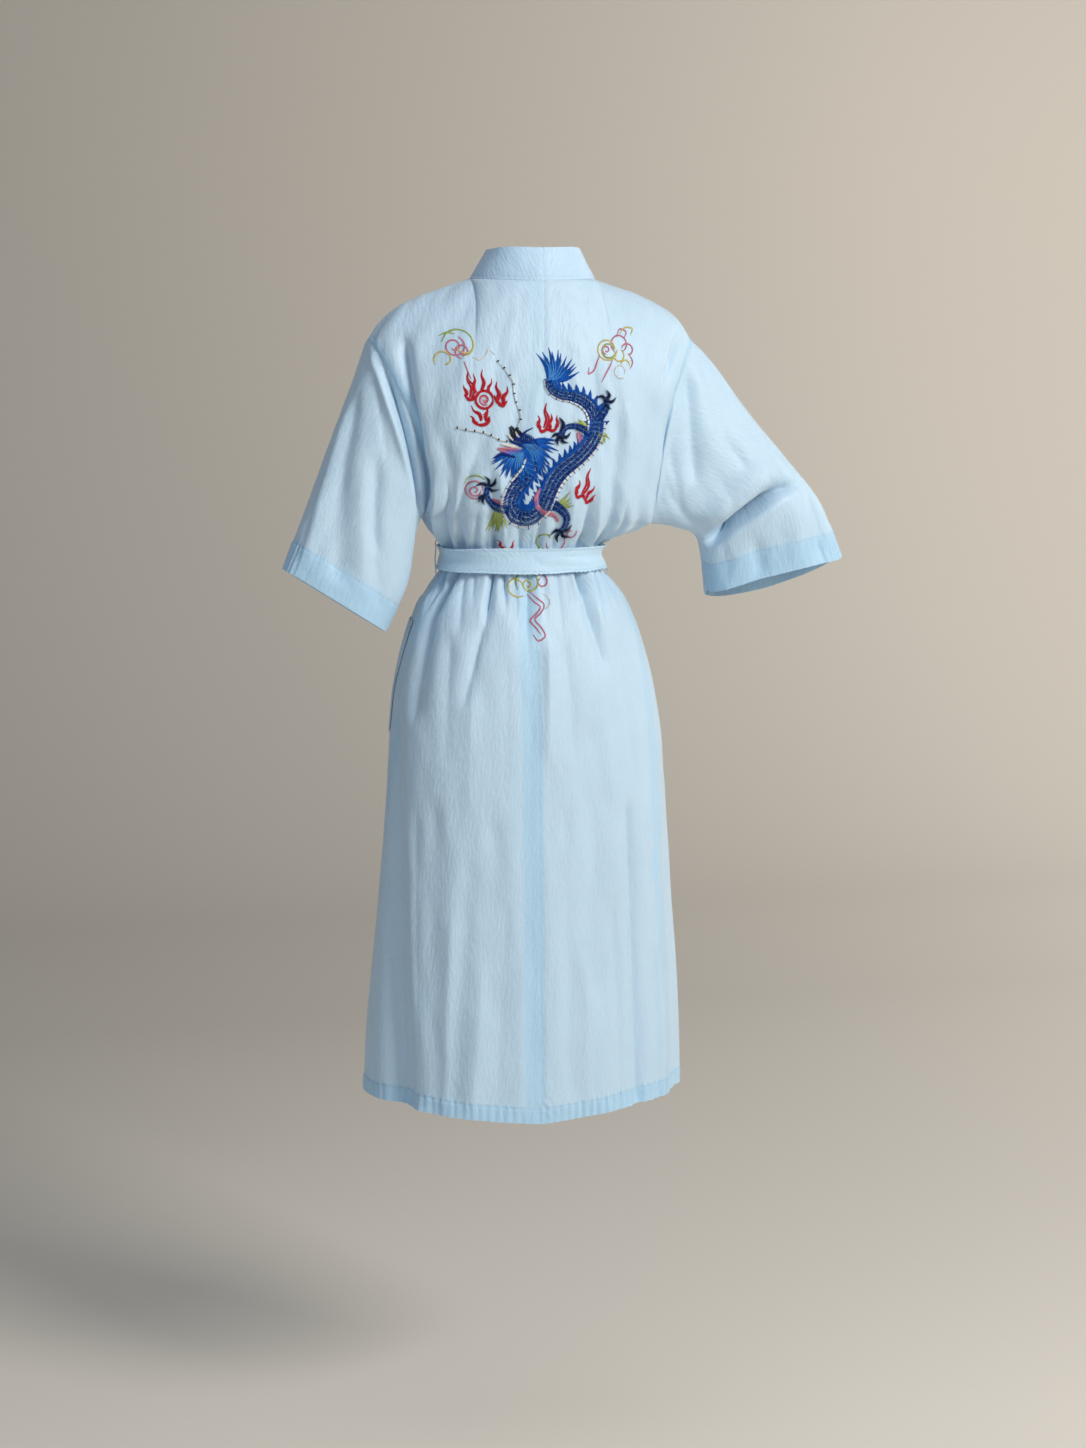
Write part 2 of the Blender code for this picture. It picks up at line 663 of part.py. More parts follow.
def body_pieces(rows):
    """The four body panels, with their folds."""
    pieces = {}
    for side in (LEFT, RIGHT):
        back = back_panel(side, rows)
        around = row_distance(back, np.zeros(len(back)))
        folds = fold_depth(BODY_FOLDS, around * side, back[..., 2])
        pieces["back", side] = piece_of(back, folds, -side)
        front = front_panel(side, rows)
        around = row_distance(front, around[:, -1])
        folds = fold_depth(BODY_FOLDS, around * side, front[..., 2]) + front_fold(side, front)
        pieces["front", side] = piece_of(front, folds, -side)
    return pieces


def collar_pieces(rows, pieces):
    """The two halves of the band, from their seam at the nape round the neck and down the front to each hem."""
    steps = np.linspace(0, 1, BAND_STRIPS + 1)[:, None, None]
    quarter = np.linspace(0, math.pi / 2, NECK_COLUMNS + 1)[:, None]
    halves = {}
    for side in (LEFT, RIGHT):
        neck_rise = np.array(COLLAR_LEAN_SIDE) * (side, 1, 1)
        lean = np.array(COLLAR_LEAN_BACK) * np.cos(quarter) ** 2 + neck_rise * np.sin(quarter) ** 2
        lean /= np.linalg.norm(lean, axis=1, keepdims=True)
        back = pieces["back", side]["base"][0, :NECK_COLUMNS + 1]
        round_neck = back + lean * COLLAR_WIDTH * steps
        strip = front_panel(side, rows, band_columns=BAND_STRIPS).transpose(1, 0, 2)[:, 1:]
        stand = strip[:1] + neck_rise * COLLAR_WIDTH * steps
        lying = 1 - ease(-105, 0, strip[:1, :, 2:])
        base = np.concatenate([round_neck, stand + (strip - stand) * lying], axis=1)
        halves["collar", side] = piece_of(base, front_fold(side, base), side)
    return halves


def sleeve_pieces():
    """Both sleeves, with their folds."""
    made = {}
    for side in (LEFT, RIGHT):
        base = sleeve_surface(side)
        along = np.linspace(0, SLEEVE_LENGTH, base.shape[0])[:, None]
        down = np.array(YOKE_SHARES) * SLEEVE_HALF_ROUND
        round_top = np.concatenate([down, -down[-2:0:-1]])[None, :]
        along, round_top = np.broadcast_arrays(along, round_top)
        fold = fold_depth(SLEEVE_FOLDS[side], along, round_top)
        made["sleeve", side] = piece_of(base, fold, side, closed=True)
        near_underarm = ease(0.7, 0.9, np.abs(round_top[:1]) / SLEEVE_HALF_ROUND)
        made["sleeve", side]["eased"] = UNDERARM_EASE * near_underarm * (along == 0)
    return made


def belt_piece():
    """The belt's ring round the waist."""
    levels = np.linspace(BELT_TOP, BELT_TOP - BELT_WIDTH, 3)
    centre_back, centre_front, sides = row_frame(levels, np.ones(3))
    turn = np.linspace(0, 2 * math.pi, BELT_COLUMNS, endpoint=False)[None]
    base = section(turn, centre_back[:, None], centre_front[:, None],
                   sides[LEFT, BACK][:, None], sides[RIGHT, BACK][:, None])
    base[..., 2] = levels[:, None]
    return piece_of(base, np.zeros(base.shape[:2]), -1, closed=True)


def front_point(x, level):
    """Point of the smooth front of the body at a given x and level below the V of the neck."""
    level = np.asarray(level, float)
    centre_back, centre_front, sides = row_frame(level, np.ones(level.shape))
    near = np.where((x > centre_front[..., 0])[..., None], sides[LEFT, FRONT], sides[RIGHT, FRONT])
    reach = np.clip((x - centre_front[..., 0]) / (near[..., 0] - centre_front[..., 0]), 0, 1)
    depth = 1 - np.cos(np.arcsin(reach ** (FULLNESS / 2))) ** (2 / FULLNESS)
    y = centre_front[..., 1] + (near[..., 1] - centre_front[..., 1]) * depth
    z = centre_front[..., 2] + (near[..., 2] - centre_front[..., 2]) * reach
    return np.stack([x, y, z], -1)


def tail_piece(table):
    """A hanging end of the belt, on the front of the robe."""
    lines = smooth(table, np.linspace(0, 1, TAIL_ROWS + 1))
    across = np.linspace(-0.5, 0.5, TAIL_STRIPS + 1)[None, :] * lines[:, 4:5]
    x = lines[:, :1] + across * np.cos(np.radians(lines[:, 2:3]))
    level = lines[:, 1:2] + across * np.sin(np.radians(lines[:, 2:3]))
    base = front_point(x, level)
    base[..., 2] = level
    fold = np.broadcast_to(lines[:, 3:4], base.shape[:2])
    return piece_of(base, fold, 1)


def lone(piece):
    """Folds and normals of a piece that is sewn to nothing."""
    sew([piece])
    return piece


def pocket_piece(panel):
    """A patch on some of the front panel's own points."""
    rows, columns = POCKET_ROWS, POCKET_COLUMNS
    base = panel["now"][rows[0]:rows[1] + 1, columns[0]:columns[1] + 1]
    return piece_of(base, np.zeros(base.shape[:2]), panel["outward"])


def belt_loop(name, panel, material):
    """A thread loop sewn to the side seam above and below the belt, which stands out round it."""
    seam, outward = panel["now"][:, -1], panel["normal"][:, -1]
    ends = []
    for row in LOOP_END_ROWS:
        on_seam, below = (seam[i] + outward[i] * LOOP_LIFT for i in (row, row + 1))
        ends.append(on_seam + (below - on_seam) * LOOP_END_SHARE)
    bow = []
    for level, stand in BELT_LOOP:
        point = np.array([np.interp(level, seam[::-1, 2], seam[::-1, i]) for i in range(3)])
        way = np.array([np.interp(level, seam[::-1, 2], outward[::-1, i]) for i in (0, 1)] + [0.0])
        bow.append(point + stand * way / np.linalg.norm(way))
    path = np.array([ends[0], *bow, ends[1]])
    mesh = bmesh.new()
    tangent = np.gradient(path, axis=0)
    tangent /= np.linalg.norm(tangent, axis=1, keepdims=True)
    flat = np.array([0.0, 1.0, 0.0])
    rings = []
    for point, way in zip(path, tangent):
        other = np.cross(way, flat)
        angles = np.linspace(0, 2 * math.pi, LOOP_SIDES, endpoint=False)
        ring = [point + LOOP_THREAD / 2 * (math.cos(a) * other + math.sin(a) * flat) for a in angles]
        rings.append([mesh.verts.new(p * MM) for p in ring])
    for low, high in zip(rings, rings[1:]):
        for i in range(LOOP_SIDES):
            k = (i + 1) % LOOP_SIDES
            mesh.faces.new((low[i], low[k], high[k], high[i]))
    mesh.faces.new(rings[0])
    mesh.faces.new(rings[-1])
    bmesh.ops.recalc_face_normals(mesh, faces=mesh.faces)
    finish_mesh(name, mesh, material)


def belt_knot(name, material):
    """The knot in front of the belt, a rounded and flattened lump of wrapped cloth."""
    mesh = bmesh.new()
    bmesh.ops.create_uvsphere(mesh, u_segments=18, v_segments=10, radius=1)
    for vertex in mesh.verts:
        x, y, z = vertex.co
        bulge = [math.copysign(abs(value) ** 0.72, value) for value in (x, y, z)]
        pinch = 1 - 0.16 * (1 - abs(bulge[2])) * abs(bulge[0])
        bulge[2] *= pinch
        vertex.co = [(KNOT_CENTRE[i] + KNOT_HALF[i] * bulge[i]) * MM for i in range(3)]
    bmesh.ops.recalc_face_normals(mesh, faces=mesh.faces)
    finish_mesh(name, mesh, material)


for old in list(bpy.data.objects):
    bpy.data.objects.remove(old)
robe = bpy.data.collections.new("kimono_robe")
bpy.context.scene.collection.children.link(robe)

PALE_BLUE = cloth_material("pale_blue_cotton", (0.45, 0.66, 0.82), 0.62)
BELT_BLUE = cloth_material("belt_cotton", (0.47, 0.69, 0.85), 0.6)
THREAD_BLUE = cloth_material("sewing_thread", (0.5, 0.68, 0.8), 0.7)

row_set = body_rows()
cloth = body_pieces(row_set)
cloth.update(collar_pieces(row_set, cloth))
cloth.update(sleeve_pieces())
sew(list(cloth.values()))

for side, side_name in SIDE_NAMES.items():
    for kind in ("back", "front"):
        cloth_solid(f"{kind}_{side_name}", cloth[kind, side], CLOTH, PALE_BLUE, ("top", "first", "last"))
    cloth_solid(f"sleeve_{side_name}", cloth["sleeve", side], CLOTH, PALE_BLUE, ("top",))
    cloth_solid(f"collar_band_{side_name}", cloth["collar", side], BAND_CLOTH, PALE_BLUE, ("top", "first"))
    belt_loop(f"belt_loop_{side_name}", cloth["back", side], THREAD_BLUE)
cloth_solid("belt", lone(belt_piece()), BELT_CLOTH, BELT_BLUE, (), BELT_LIFT)
belt_knot("belt_knot", BELT_BLUE)
for name, table in (("belt_tail_left", TAIL_LEFT), ("belt_tail_right", TAIL_RIGHT)):
    cloth_solid(name, lone(tail_piece(table)), BELT_CLOTH, BELT_BLUE, ())
pocket = lone(pocket_piece(cloth["front", LEFT]))
cloth_solid("pocket_left", pocket, CLOTH, PALE_BLUE, (), POCKET_LIFT)
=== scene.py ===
import math

import bmesh
import bpy
import numpy as np
from mathutils import Matrix, Vector
from mathutils.bvhtree import BVHTree
from mathutils.kdtree import KDTree


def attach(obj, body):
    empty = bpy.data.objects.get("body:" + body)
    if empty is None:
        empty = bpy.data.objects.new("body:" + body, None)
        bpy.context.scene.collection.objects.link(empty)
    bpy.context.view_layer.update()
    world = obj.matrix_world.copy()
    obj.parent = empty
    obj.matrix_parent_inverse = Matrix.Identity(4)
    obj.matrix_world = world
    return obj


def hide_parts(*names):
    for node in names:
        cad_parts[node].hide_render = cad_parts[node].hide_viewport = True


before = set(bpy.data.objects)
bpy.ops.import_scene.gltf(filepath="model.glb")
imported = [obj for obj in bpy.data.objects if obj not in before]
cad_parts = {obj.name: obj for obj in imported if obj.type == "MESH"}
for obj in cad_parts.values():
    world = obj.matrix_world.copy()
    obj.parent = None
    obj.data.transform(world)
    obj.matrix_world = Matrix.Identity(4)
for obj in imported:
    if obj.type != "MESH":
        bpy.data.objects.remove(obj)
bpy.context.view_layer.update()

# Looks of the kimono robe. Panels, sleeves and bands are drawn by the same sizes and tables as its solids,
# with finer rows and columns, finer folds, seams, hems and stitches. Sizes are in millimetres in the robe's
# own frame, and turned to metres where the meshes are made. The front faces -Y, the wearer's left is +X.

MM = 0.001

# Body: the neck seam, the levels that its shape changes at, and how square its sections are.
NAPE = (0.0, 65.0, 0.0)
NECK_SIDE = (85.0, -2.0, 2.0)
UNDERARM_LEVEL = -318.0
HEM_LEVEL = -1125.0
HEM_SIDE_RISE = 20.0
HEM_RISE_START = -880.0
FULLNESS = 2.3
SHOULDER_ROUND = 0.3
OVERLAP_STEP = 2.7

# Collar and front bands, with the way that the collar stands at the nape and at the side of the neck.
COLLAR_WIDTH = 44.0
FRONT_BAND_WIDTH = 48.0
BAND_STRIPS = 3
BAND_FINENESS = 4
COLLAR_LEAN_BACK = (0.0, -0.22, 0.975)
COLLAR_LEAN_SIDE = (-0.5, 0.05, 0.86)

# Belt: its lift is the distance from the middle of the body cloth to the middle of the belt.
BELT_TOP = -352.0
BELT_WIDTH = 37.0
BELT_LIFT = 5.8
BELT_BOTTOM = BELT_TOP - BELT_WIDTH
BELT_ROWS = 19
BELT_COLUMNS = 360
BELT_CROWN = 0.5
KNOT_CENTRE = (6.0, -133.2, -371.0)
KNOT_HALF = (29.0, 10.5, 22.0)
TAIL_ROWS = 90
TAIL_COLUMNS = 15
PLEAT_DEPTH = 1.6
LOOP_THREAD = 1.8
LOOP_STEPS = 90
LOOP_LIFT = 1.85
LOOP_END_ROWS = (12, 15)
LOOP_END_SHARE = 0.6

# Pocket: the rows and columns of the wearer's left front panel that it lies on.
POCKET_ROWS = (18, 21)
POCKET_COLUMNS = (1, 7)
POCKET_LIFT = 1.8

# Lengths that the sleeves' folds are measured by: armhole to cuff, and top fold to underarm seam.
SLEEVE_LENGTH = 330.0
SLEEVE_HALF_ROUND = 250.0
# How far the front of the right cuff hangs below its back.
RIGHT_CUFF_TILT = 30.0

# Folds fade out over this length at each end.
FOLD_END = 26.0

# Fineness of the cloth, with the share of the way down the armhole of each row above the underarm.
NECK_COLUMNS = 8
SHOULDER_COLUMNS = 14
SLEEVE_RINGS = 14
YOKE_SHARES = (0, 0.025, 0.07, 0.13, 0.21, 0.31, 0.42, 0.54, 0.65, 0.76, 0.88, 1)

LEFT, RIGHT = 1, -1
BACK, FRONT = 1, -1
SIDE_NAMES = {LEFT: "left", RIGHT: "right"}

# Heights of the rows of the body below the underarm.
LOWER_LEVELS = (-335, -351, -371, -390, -403, -424, -455, -495, -545, -605, -675, -755, -845, -940, -1035,
                -1095, HEM_LEVEL)

# Seam down the shoulder, from the side of the neck to the dropped shoulder tip.
SHOULDER_SEAM = (
    # x, y, z
    (85, -2, 2),
    (122, -4, -10),
    (158, -6, -23),
    (187, -7, -38),
    (207, -8, -56),
    (223, -8, -80),
)

# Middle of the back and of the front at each level.
CENTRE_LINES = (
    # level, back x, back y, front x, front y
    (0, 0, 65, 0, -10),
    (-40, 3, 79, 0, -52),
    (-90, 6, 91, 0, -88),
    (-150, 8, 97, 0, -118),
    (-220, 9, 96, 2, -138),
    (-290, 10, 87, 4, -139),
    (-325, 10, 74, 6, -130),
    (-351, 10, 58, 6, -117),
    (-390, 12, 57, 6, -116),
    (-424, 15, 73, 6, -124),
    (-495, 17, 92, 6, -134),
    (-580, 17, 104, 6, -141),
    (-700, 17, 109, 6, -147),
    (-850, 17, 113, 6, -156),
    (-1000, 17, 118, 6, -166),
    (-1125, 17, 122, 6, -173),
)

# Outermost point of each side below the underarm.
SIDE_LINES = (
    # level, left x, left y, right x, right y
    (-318, 150, -10, -162, -10),
    (-335, 138, -16, -136, -18),
    (-351, 119, -26, -105, -30),
    (-390, 120, -28, -104, -30),
    (-403, 131, -27, -115, -30),
    (-424, 148, -25, -132, -29),
    (-455, 161, -22, -147, -26),
    (-495, 174, -18, -159, -22),
    (-545, 185, -14, -170, -17),
    (-605, 192, -10, -179, -12),
    (-675, 196, -12, -186, -10),
    (-755, 201, -18, -192, -10),
    (-845, 208, -28, -198, -12),
    (-940, 216, -40, -205, -14),
    (-1035, 224, -50, -210, -16),
    (-1125, 229, -56, -212, -18),
)

# Turn of the side seams from the middle of the back, in degrees round the section.
SIDE_SEAM_TURN = (
    # level, left, right
    (-318, 90, 90),
    (-351, 90, 86),
    (-390, 88, 80),
    (-455, 80, 68),
    (-560, 86, 60),
    (-700, 92, 57),
    (-1125, 98, 57),
)

# Edge of each front panel, where the band is sewn on. The other front's is its mirror image.
FRONT_EDGE = (
    # level, x on the wearer's left panel
    (0, 85),
    (-40, 77),
    (-90, 61),
    (-150, 41),
    (-220, 17),
    (-290, -6),
    (-351, -26),
    (-390, -32),
    (-495, -42),
    (-700, -52),
    (-900, -60),
    (-1125, -68),
)

# Where each sleeve joins the body: its underarm point, how far its seam bows in, and its depths.
ARMHOLES = {
    LEFT: {"under": (150, -10, -308), "bow": 1.7, "back_depth": 54, "front_depth": 58},
    RIGHT: {"under": (-162, -10, -328), "bow": 2.6, "back_depth": 54, "front_depth": 58},
}

# Top fold and underarm seam of each sleeve, from the armhole to the cuff.
SLEEVE_LINES = {
    LEFT: (
        # share, top x, top y, top z, under x, under y, under z, back depth, front depth
        (0.0, 223, -8, -80, 150, -10, -308, 54, 58),
        (0.12, 236, -8, -118, 156, -9, -318, 55, 58),
        (0.3, 257, -7, -172, 163, -8, -338, 54, 56),
        (0.5, 283, -6, -238, 166, -6, -371, 51, 53),
        (0.75, 312, -5, -311, 179, -4, -418, 47, 49),
        (1.0, 339, -4, -380, 205, -2, -465, 42, 46),
    ),
    RIGHT: (
        (0.0, -223, -8, -80, -162, -10, -328, 54, 58),
        (0.15, -256, -8, -114, -182, -12, -329, 55, 57),
        (0.35, -297, -6, -169, -209, -16, -335, 54, 56),
        (0.55, -348, -2, -231, -238, -22, -346, 52, 56),
        (0.78, -405, 4, -299, -252, -30, -380, 48, 56),
        (1.0, -436, 8, -373, -259, -34, -421, 42, 54),
    ),
}
# The thread loops on the side seams, between their ends on the cloth above and below the belt.
BELT_LOOP = (
    # level, distance out from the seam
    (-351, 10.4),
    (-356, 13.2),
    (-363, 15.0),
    (-370, 15.6),
    (-378, 14.8),
    (-386, 12.6),
    (-391, 10.2),
)
# The hanging ends of the belt, from the knot down.
TAIL_LEFT = (
    # share, x, level, tilt in degrees, distance out, width
    (0, 19, -395.5, 7, 7.5, 20),
    (0.1, 26, -426, 8, 6.4, 31),
    (0.25, 35, -472, 9, 5.6, 37),
    (0.6, 47, -578, 6, 5.4, 37),
    (1, 54, -702, 4, 5.4, 37),
)
TAIL_RIGHT = (
    (0, -6, -395.5, -6, 7.5, 20),
    (0.1, -12, -424, -7, 6.4, 31),
    (0.25, -19, -464, -7, 5.8, 37),
    (0.6, -29, -560, -5, 5.6, 37),
    (1, -36, -668, -3, 5.6, 37),
)

# Largest folds of the body, each from one end to the other. Around is the distance along the cloth from the
# middle of the back, to the wearer's left; level is the height. Depths are those at the two ends.
BODY_FOLDS = (
    # around 1, level 1, around 2, level 2, width 1, width 2, depth 1, depth 2
    (133, -261, 128, -356, 9, 6, -3, -6),
    (139, -202, 97, -356, 14, 7, -5, -9),
    (73, -247, 52, -356, 12, 7, -3, -5),
    (30, -274, 19, -356, 8, 6, -2, -4),
    (0, -286, -7, -356, 7, 6, -2, -4),
    (-69, -276, -65, -356, 9, 6, -3, -6),
    (-111, -145, -102, -358, 14, 8, -5, -10),
    (-165, -150, -151, -336, 13, 14, -5, -7),
    (86, -202, 111, -288, 12, 9, -3, -4),
    (-206, -71, -179, -139, 7, 8, -4, -4),
    (145, -72, 154, -209, 16, 18, -4, -5),
    (188, -76, 177, -290, 12, 12, -8, -8),
    (105, -380, 147, -446, 7, 10, -8, -8),
    (144, -438, 178, -582, 10, 16, -8, -4),
    (128, -384, 162, -438, 6, 9, -5, -3),
    (52, -382, 67, -450, 6, 8, -7, -5),
    (66, -442, 100, -558, 8, 14, -5, -3),
    (40, -380, 39, -434, 5, 7, -5, -3),
    (-63, -382, -75, -422, 6, 8, -7, -6),
    (-72, -418, -102, -518, 8, 13, -6, -3),
    (-122, -380, -142, -430, 6, 9, -6, -3),
    (5, -380, 12, -474, 6, 9, -4, -2),
    (-95, -382, -108, -450, 6, 9, -4, -2),
    (146, -686, 147, -1125, 16, 20, -3, -5),
    (94, -765, 123, -1110, 14, 18, -3, -5),
    (58, -710, 73, -980, 16, 20, -3, -3),
    (-130, -694, -148, -1125, 12, 16, -4, -6),
    (-72, -582, -83, -963, 18, 22, -3, -3),
    (-17, -474, -12, -634, 10, 12, 3, 2),
    (221, -562, 209, -1125, 14, 26, -6, -24),
    (-215, -640, -235, -1125, 16, 24, -3, -9),
    (330, -560, 345, -1125, 18, 26, -4, -10),
)

# Largest folds of both fronts, which lie on each other, by x and level.
FRONT_FOLDS = (
    # x 1, level 1, x 2, level 2, width 1, width 2, depth 1, depth 2
    (104, -205, 90, -356, 13, 9, -3, -6),
    (62, -215, 56, -356, 15, 13, -2, -4),
    (-92, -205, -80, -356, 13, 10, -3, -6),
    (-54, -215, -44, -356, 15, 13, -2, -4),
    (88, -382, 102, -520, 9, 14, -6, -3),
    (58, -382, 66, -500, 12, 16, -4, -2),
    (-80, -382, -98, -520, 10, 15, -5, -3),
    (-46, -382, -56, -500, 12, 16, -4, -2),
    (122, -620, 136, -1125, 18, 24, -3, -8),
    (66, -700, 74, -1125, 20, 26, -2, -5),
    (-148, -600, -166, -1125, 18, 24, -3, -8),
    (-92, -640, -102, -1125, 20, 26, -3, -6),
)

# Largest folds of each sleeve. Along is the distance from the armhole, and round is the distance from the
# top fold by the back, less than 0 by the front.
SLEEVE_FOLDS = {
    LEFT: (
        # along 1, round 1, along 2, round 2, width 1, width 2, depth 1, depth 2
        (4, 62, 52, 195, 10, 13, -7, -8),
        (66, 28, 300, 111, 14, 20, -5, -8),
        (107, 104, 220, 145, 10, 12, -4, -3),
        (8, 25, 62, 140, 9, 12, 3, 4),
        (154, 63, 300, 70, 14, 18, -2, -3),
        (70, -60, 310, -105, 16, 22, -4, -8),
        (20, -120, 180, -180, 12, 18, -5, -4),
    ),
    RIGHT: (
        (218, 50, 202, 110, 7, 11, -6, -12),
        (205, 98, 208, 228, 11, 14, -18, -26),
        (182, 58, 152, 190, 15, 20, 5, 12),
        (4, 60, 99, 146, 12, 16, -5, -6),
        (107, 89, 151, 101, 8, 8, -3, -3),
        (6, 98, 8, 190, 9, 12, 3, 3),
        (239, 41, 330, 76, 12, 14, -3, -3),
        (248, 149, 330, 149, 12, 14, -3, -4),
        (60, -70, 250, -150, 16, 20, -6, -5),
        (215, -90, 330, -120, 14, 20, -4, -6),
    ),
}

# Each step of the solids' rows round the armhole, and of their columns, becomes this many.
FINENESS = 5
SLEEVE_FINENESS = 7
# Rows of the body below the underarm.
ROW_STEPS = (
    # from level, to level, step
    (-318, -345, 3.0),
    (-345, -430, 2.5),
    (-430, -600, 4.0),
    (-600, -1085, 5.5),
    (-1085, -1125, 2.0),
)

# Real thickness of the cloth and of its folded edges.
CLOTH_THICK = 0.8
BELT_THICK = 2.2

# Turned and stitched edges.
HEM_WIDTH = 22.0
SLEEVE_HEM_WIDTH = 40.0
HEM_STEP = 0.6
HEM_EDGE = 2.5
HEM_STITCH_INSET = 1.5
HEM_RIB = 1.0
RIB_ROUND = 0.6
RIB_PITCH = 11.5
PUCKER_PITCH = 8.5
ALLOWANCE = 11.0
ARMHOLE_STITCH_ROWS = (2.5, 9.5)
COLLAR_STITCH_INSET = 5.0
BELT_STITCH_INSET = 3.5
POCKET_HEM = 24.0
POCKET_STEP = 0.3
POCKET_STITCH_INSET = 2.5
LAP_STEP = 0.5
SEAM_STEP = 0.32
SEAM_PUCKER_PITCH = 13.0
SEAM_PUCKER_REACH = 17

# Puckers of the cloth along its rows of stitches, and the narrow dip that each row is sunk in.
PUCKER_SHARE = 0.9
STITCH_DIP = 1.6
PUCKERS = {
    # depth, reach on both sides, pitch
    "armhole row": (0.5, 4.0, PUCKER_PITCH),
    "side seam": (0.3, 6.0, PUCKER_PITCH),
    "top edge": (0.3, 7.0, PUCKER_PITCH),
    "centre back": (0.35, 5.0, 10.0),
    "collar row": (0.5, 6.0, PUCKER_PITCH),
    "nape": (0.4, 4.0, PUCKER_PITCH),
    "sleeve head": (0.5, 5.0, PUCKER_PITCH),
    "belt": (0.4, 3.5, 6.5),
    "belt end": (0.25, 3.0, 6.5),
    "pocket": (0.3, 4.0, PUCKER_PITCH),
    "hem": (1.0, 7.0, RIB_PITCH * 0.55),
}

# Soft unevenness of worn cloth, as waves whose sizes and directions are drawn by a seed.
WAVE_COUNT = 36
WAVES = {
    # seed, shortest, longest, lean in degrees, its spread, slope
    "skirt": (3, 20, 120, 3, 8, 0.014),
    "yoke": (5, 14, 80, 18, 22, 0.021),
    "collar": (11, 14, 70, 20, 40, 0.008),
    "sleeve": (17, 18, 100, 10, 18, 0.017),
    "belt": (23, 10, 60, 86, 7, 0.02),
    "belt end": (29, 12, 60, 20, 40, 0.012),
}

# Stitches of the sewing machine: their spacing, length and thread.
STITCH_PITCH = 3.2
STITCH_LENGTH = 2.5
STITCH_WIDTH = 0.75
STITCH_HEIGHT = 0.45
STITCH_SUNK = 0.15
STITCH_FACES = ((0, 2, 4), (0, 4, 3), (1, 4, 2), (1, 3, 4), (0, 3, 2), (1, 2, 3))

# Embroidery threads: spacing, the height of one layer, and the widest column of satin stitches.
THREAD = 0.85
THREAD_LAYER = 0.42
SATIN_COLUMN = 7.5
LINE_WIDTH = 2.5
SCALE_PITCH = 6.0
SPIKE_PITCH = 8.5
TICK_PITCH = 8.0
WHISKER_TICK_PITCH = 12.0
THREAD_SEED = 3

# Finer folds of the body than those of the solids.
FINE_BODY_FOLDS = (
    # around 1, level 1, around 2, level 2, width 1, width 2, depth 1, depth 2
    (150, -250, 146, -345, 6, 4, 4.2, 6.0),
    (118, -262, 112, -352, 6, 4, 3.2, 6.5),
    (84, -300, 80, -352, 4, 3, -2.7, -5.5),
    (62, -236, 36, -345, 7, 4, 3.2, 4.4),
    (42, -308, 41, -352, 4, 3, -2.2, -4.9),
    (9, -302, 6, -352, 4, 3, -1.7, -4.4),
    (-24, -296, -26, -352, 5, 4, -2.0, -4.9),
    (-44, -250, -47, -345, 7, 5, 2.7, 4.9),
    (-86, -268, -82, -350, 6, 5, 3.2, 5.5),
    (-128, -300, -124, -352, 5, 4, -2.7, -5.5),
    (-66, -100, -98, -262, 10, 12, -3.0, -4.4),
    (-102, -84, -128, -230, 10, 12, 2.5, 2.9),
    (60, -86, 84, -236, 11, 12, -2.5, -3.4),
    (104, -70, 118, -190, 9, 10, 2.7, 2.5),
    (34, -120, 44, -262, 9, 10, -2.5, -3.2),
    (-30, -84, -46, -222, 9, 10, -1.7, -2.3),
    (14, -60, 20, -160, 7, 8, -1.0, -1.4),
    (-30, -10, -62, -34, 4, 5, -1.7, -1.0),
    (-44, -8, -76, -26, 3, 4, 1.4, 0.8),
    (26, -9, 58, -30, 4, 5, -1.4, -0.8),
    (108, -367, 146, -442, 4, 6, -5.9, -6.5),
    (52, -367, 67, -450, 4, 5, -5.9, -3.9),
    (40, -367, 39, -424, 3, 4, -4.5, -2.0),
    (-63, -367, -75, -424, 4, 5, -5.9, -3.9),
    (-120, -367, -141, -428, 4, 5, -5.2, -2.6),
    (128, -392, 136, -450, 4, 6, 4.4, 2.7),
    (94, -390, 104, -470, 5, 8, -5.5, -2.7),
    (80, -390, 84, -430, 4, 5, -3.8, -1.7),
    (58, -392, 80, -520, 6, 10, 5.5, 3.2),
    (26, -392, 24, -450, 4, 6, -4.9, -2.0),
    (14, -392, 16, -424, 3, 4, -3.2, -1.0),
    (-12, -392, -16, -446, 4, 6, -4.4, -2.0),
    (-32, -392, -38, -470, 5, 8, -4.9, -2.2),
    (-50, -392, -58, -436, 4, 5, -3.2, -1.4),
    (-88, -392, -98, -470, 5, 8, 4.4, 2.7),
    (-112, -392, -124, -446, 4, 6, -4.9, -2.2),
    (116, -470, 128, -640, 9, 13, -3.4, -2.5),
    (88, -520, 96, -700, 10, 14, 2.2, 1.6),
    (40, -500, 48, -690, 10, 14, -2.2, -1.9),
    (-40, -470, -50, -640, 9, 13, -2.7, -1.7),
    (-128, -470, -142, -660, 9, 13, -3.4, -2.5),
    (172, -700, 176, -1110, 11, 15, -2.9, -3.8),
    (200, -590, 189, -1118, 5, 7, -3.0, -7.0),
    (120, -840, 134, -1118, 9, 12, 2.6, 3.5),
    (78, -900, 96, -1118, 10, 13, 2.2, 3.2),
    (44, -820, 62, -1112, 12, 15, -2.2, -2.9),
    (24, -900, 30, -1118, 9, 12, 1.6, 2.4),
    (-36, -700, -40, -1100, 13, 16, -1.6, -2.2),
    (-62, -900, -68, -1118, 10, 12, 1.6, 1.9),
    (-104, -820, -116, -1118, 10, 13, -2.2, -3.2),
    (-168, -760, -186, -1118, 9, 12, -2.6, -3.5),
    (-182, -880, -204, -1112, 8, 10, 1.9, 2.6),
)

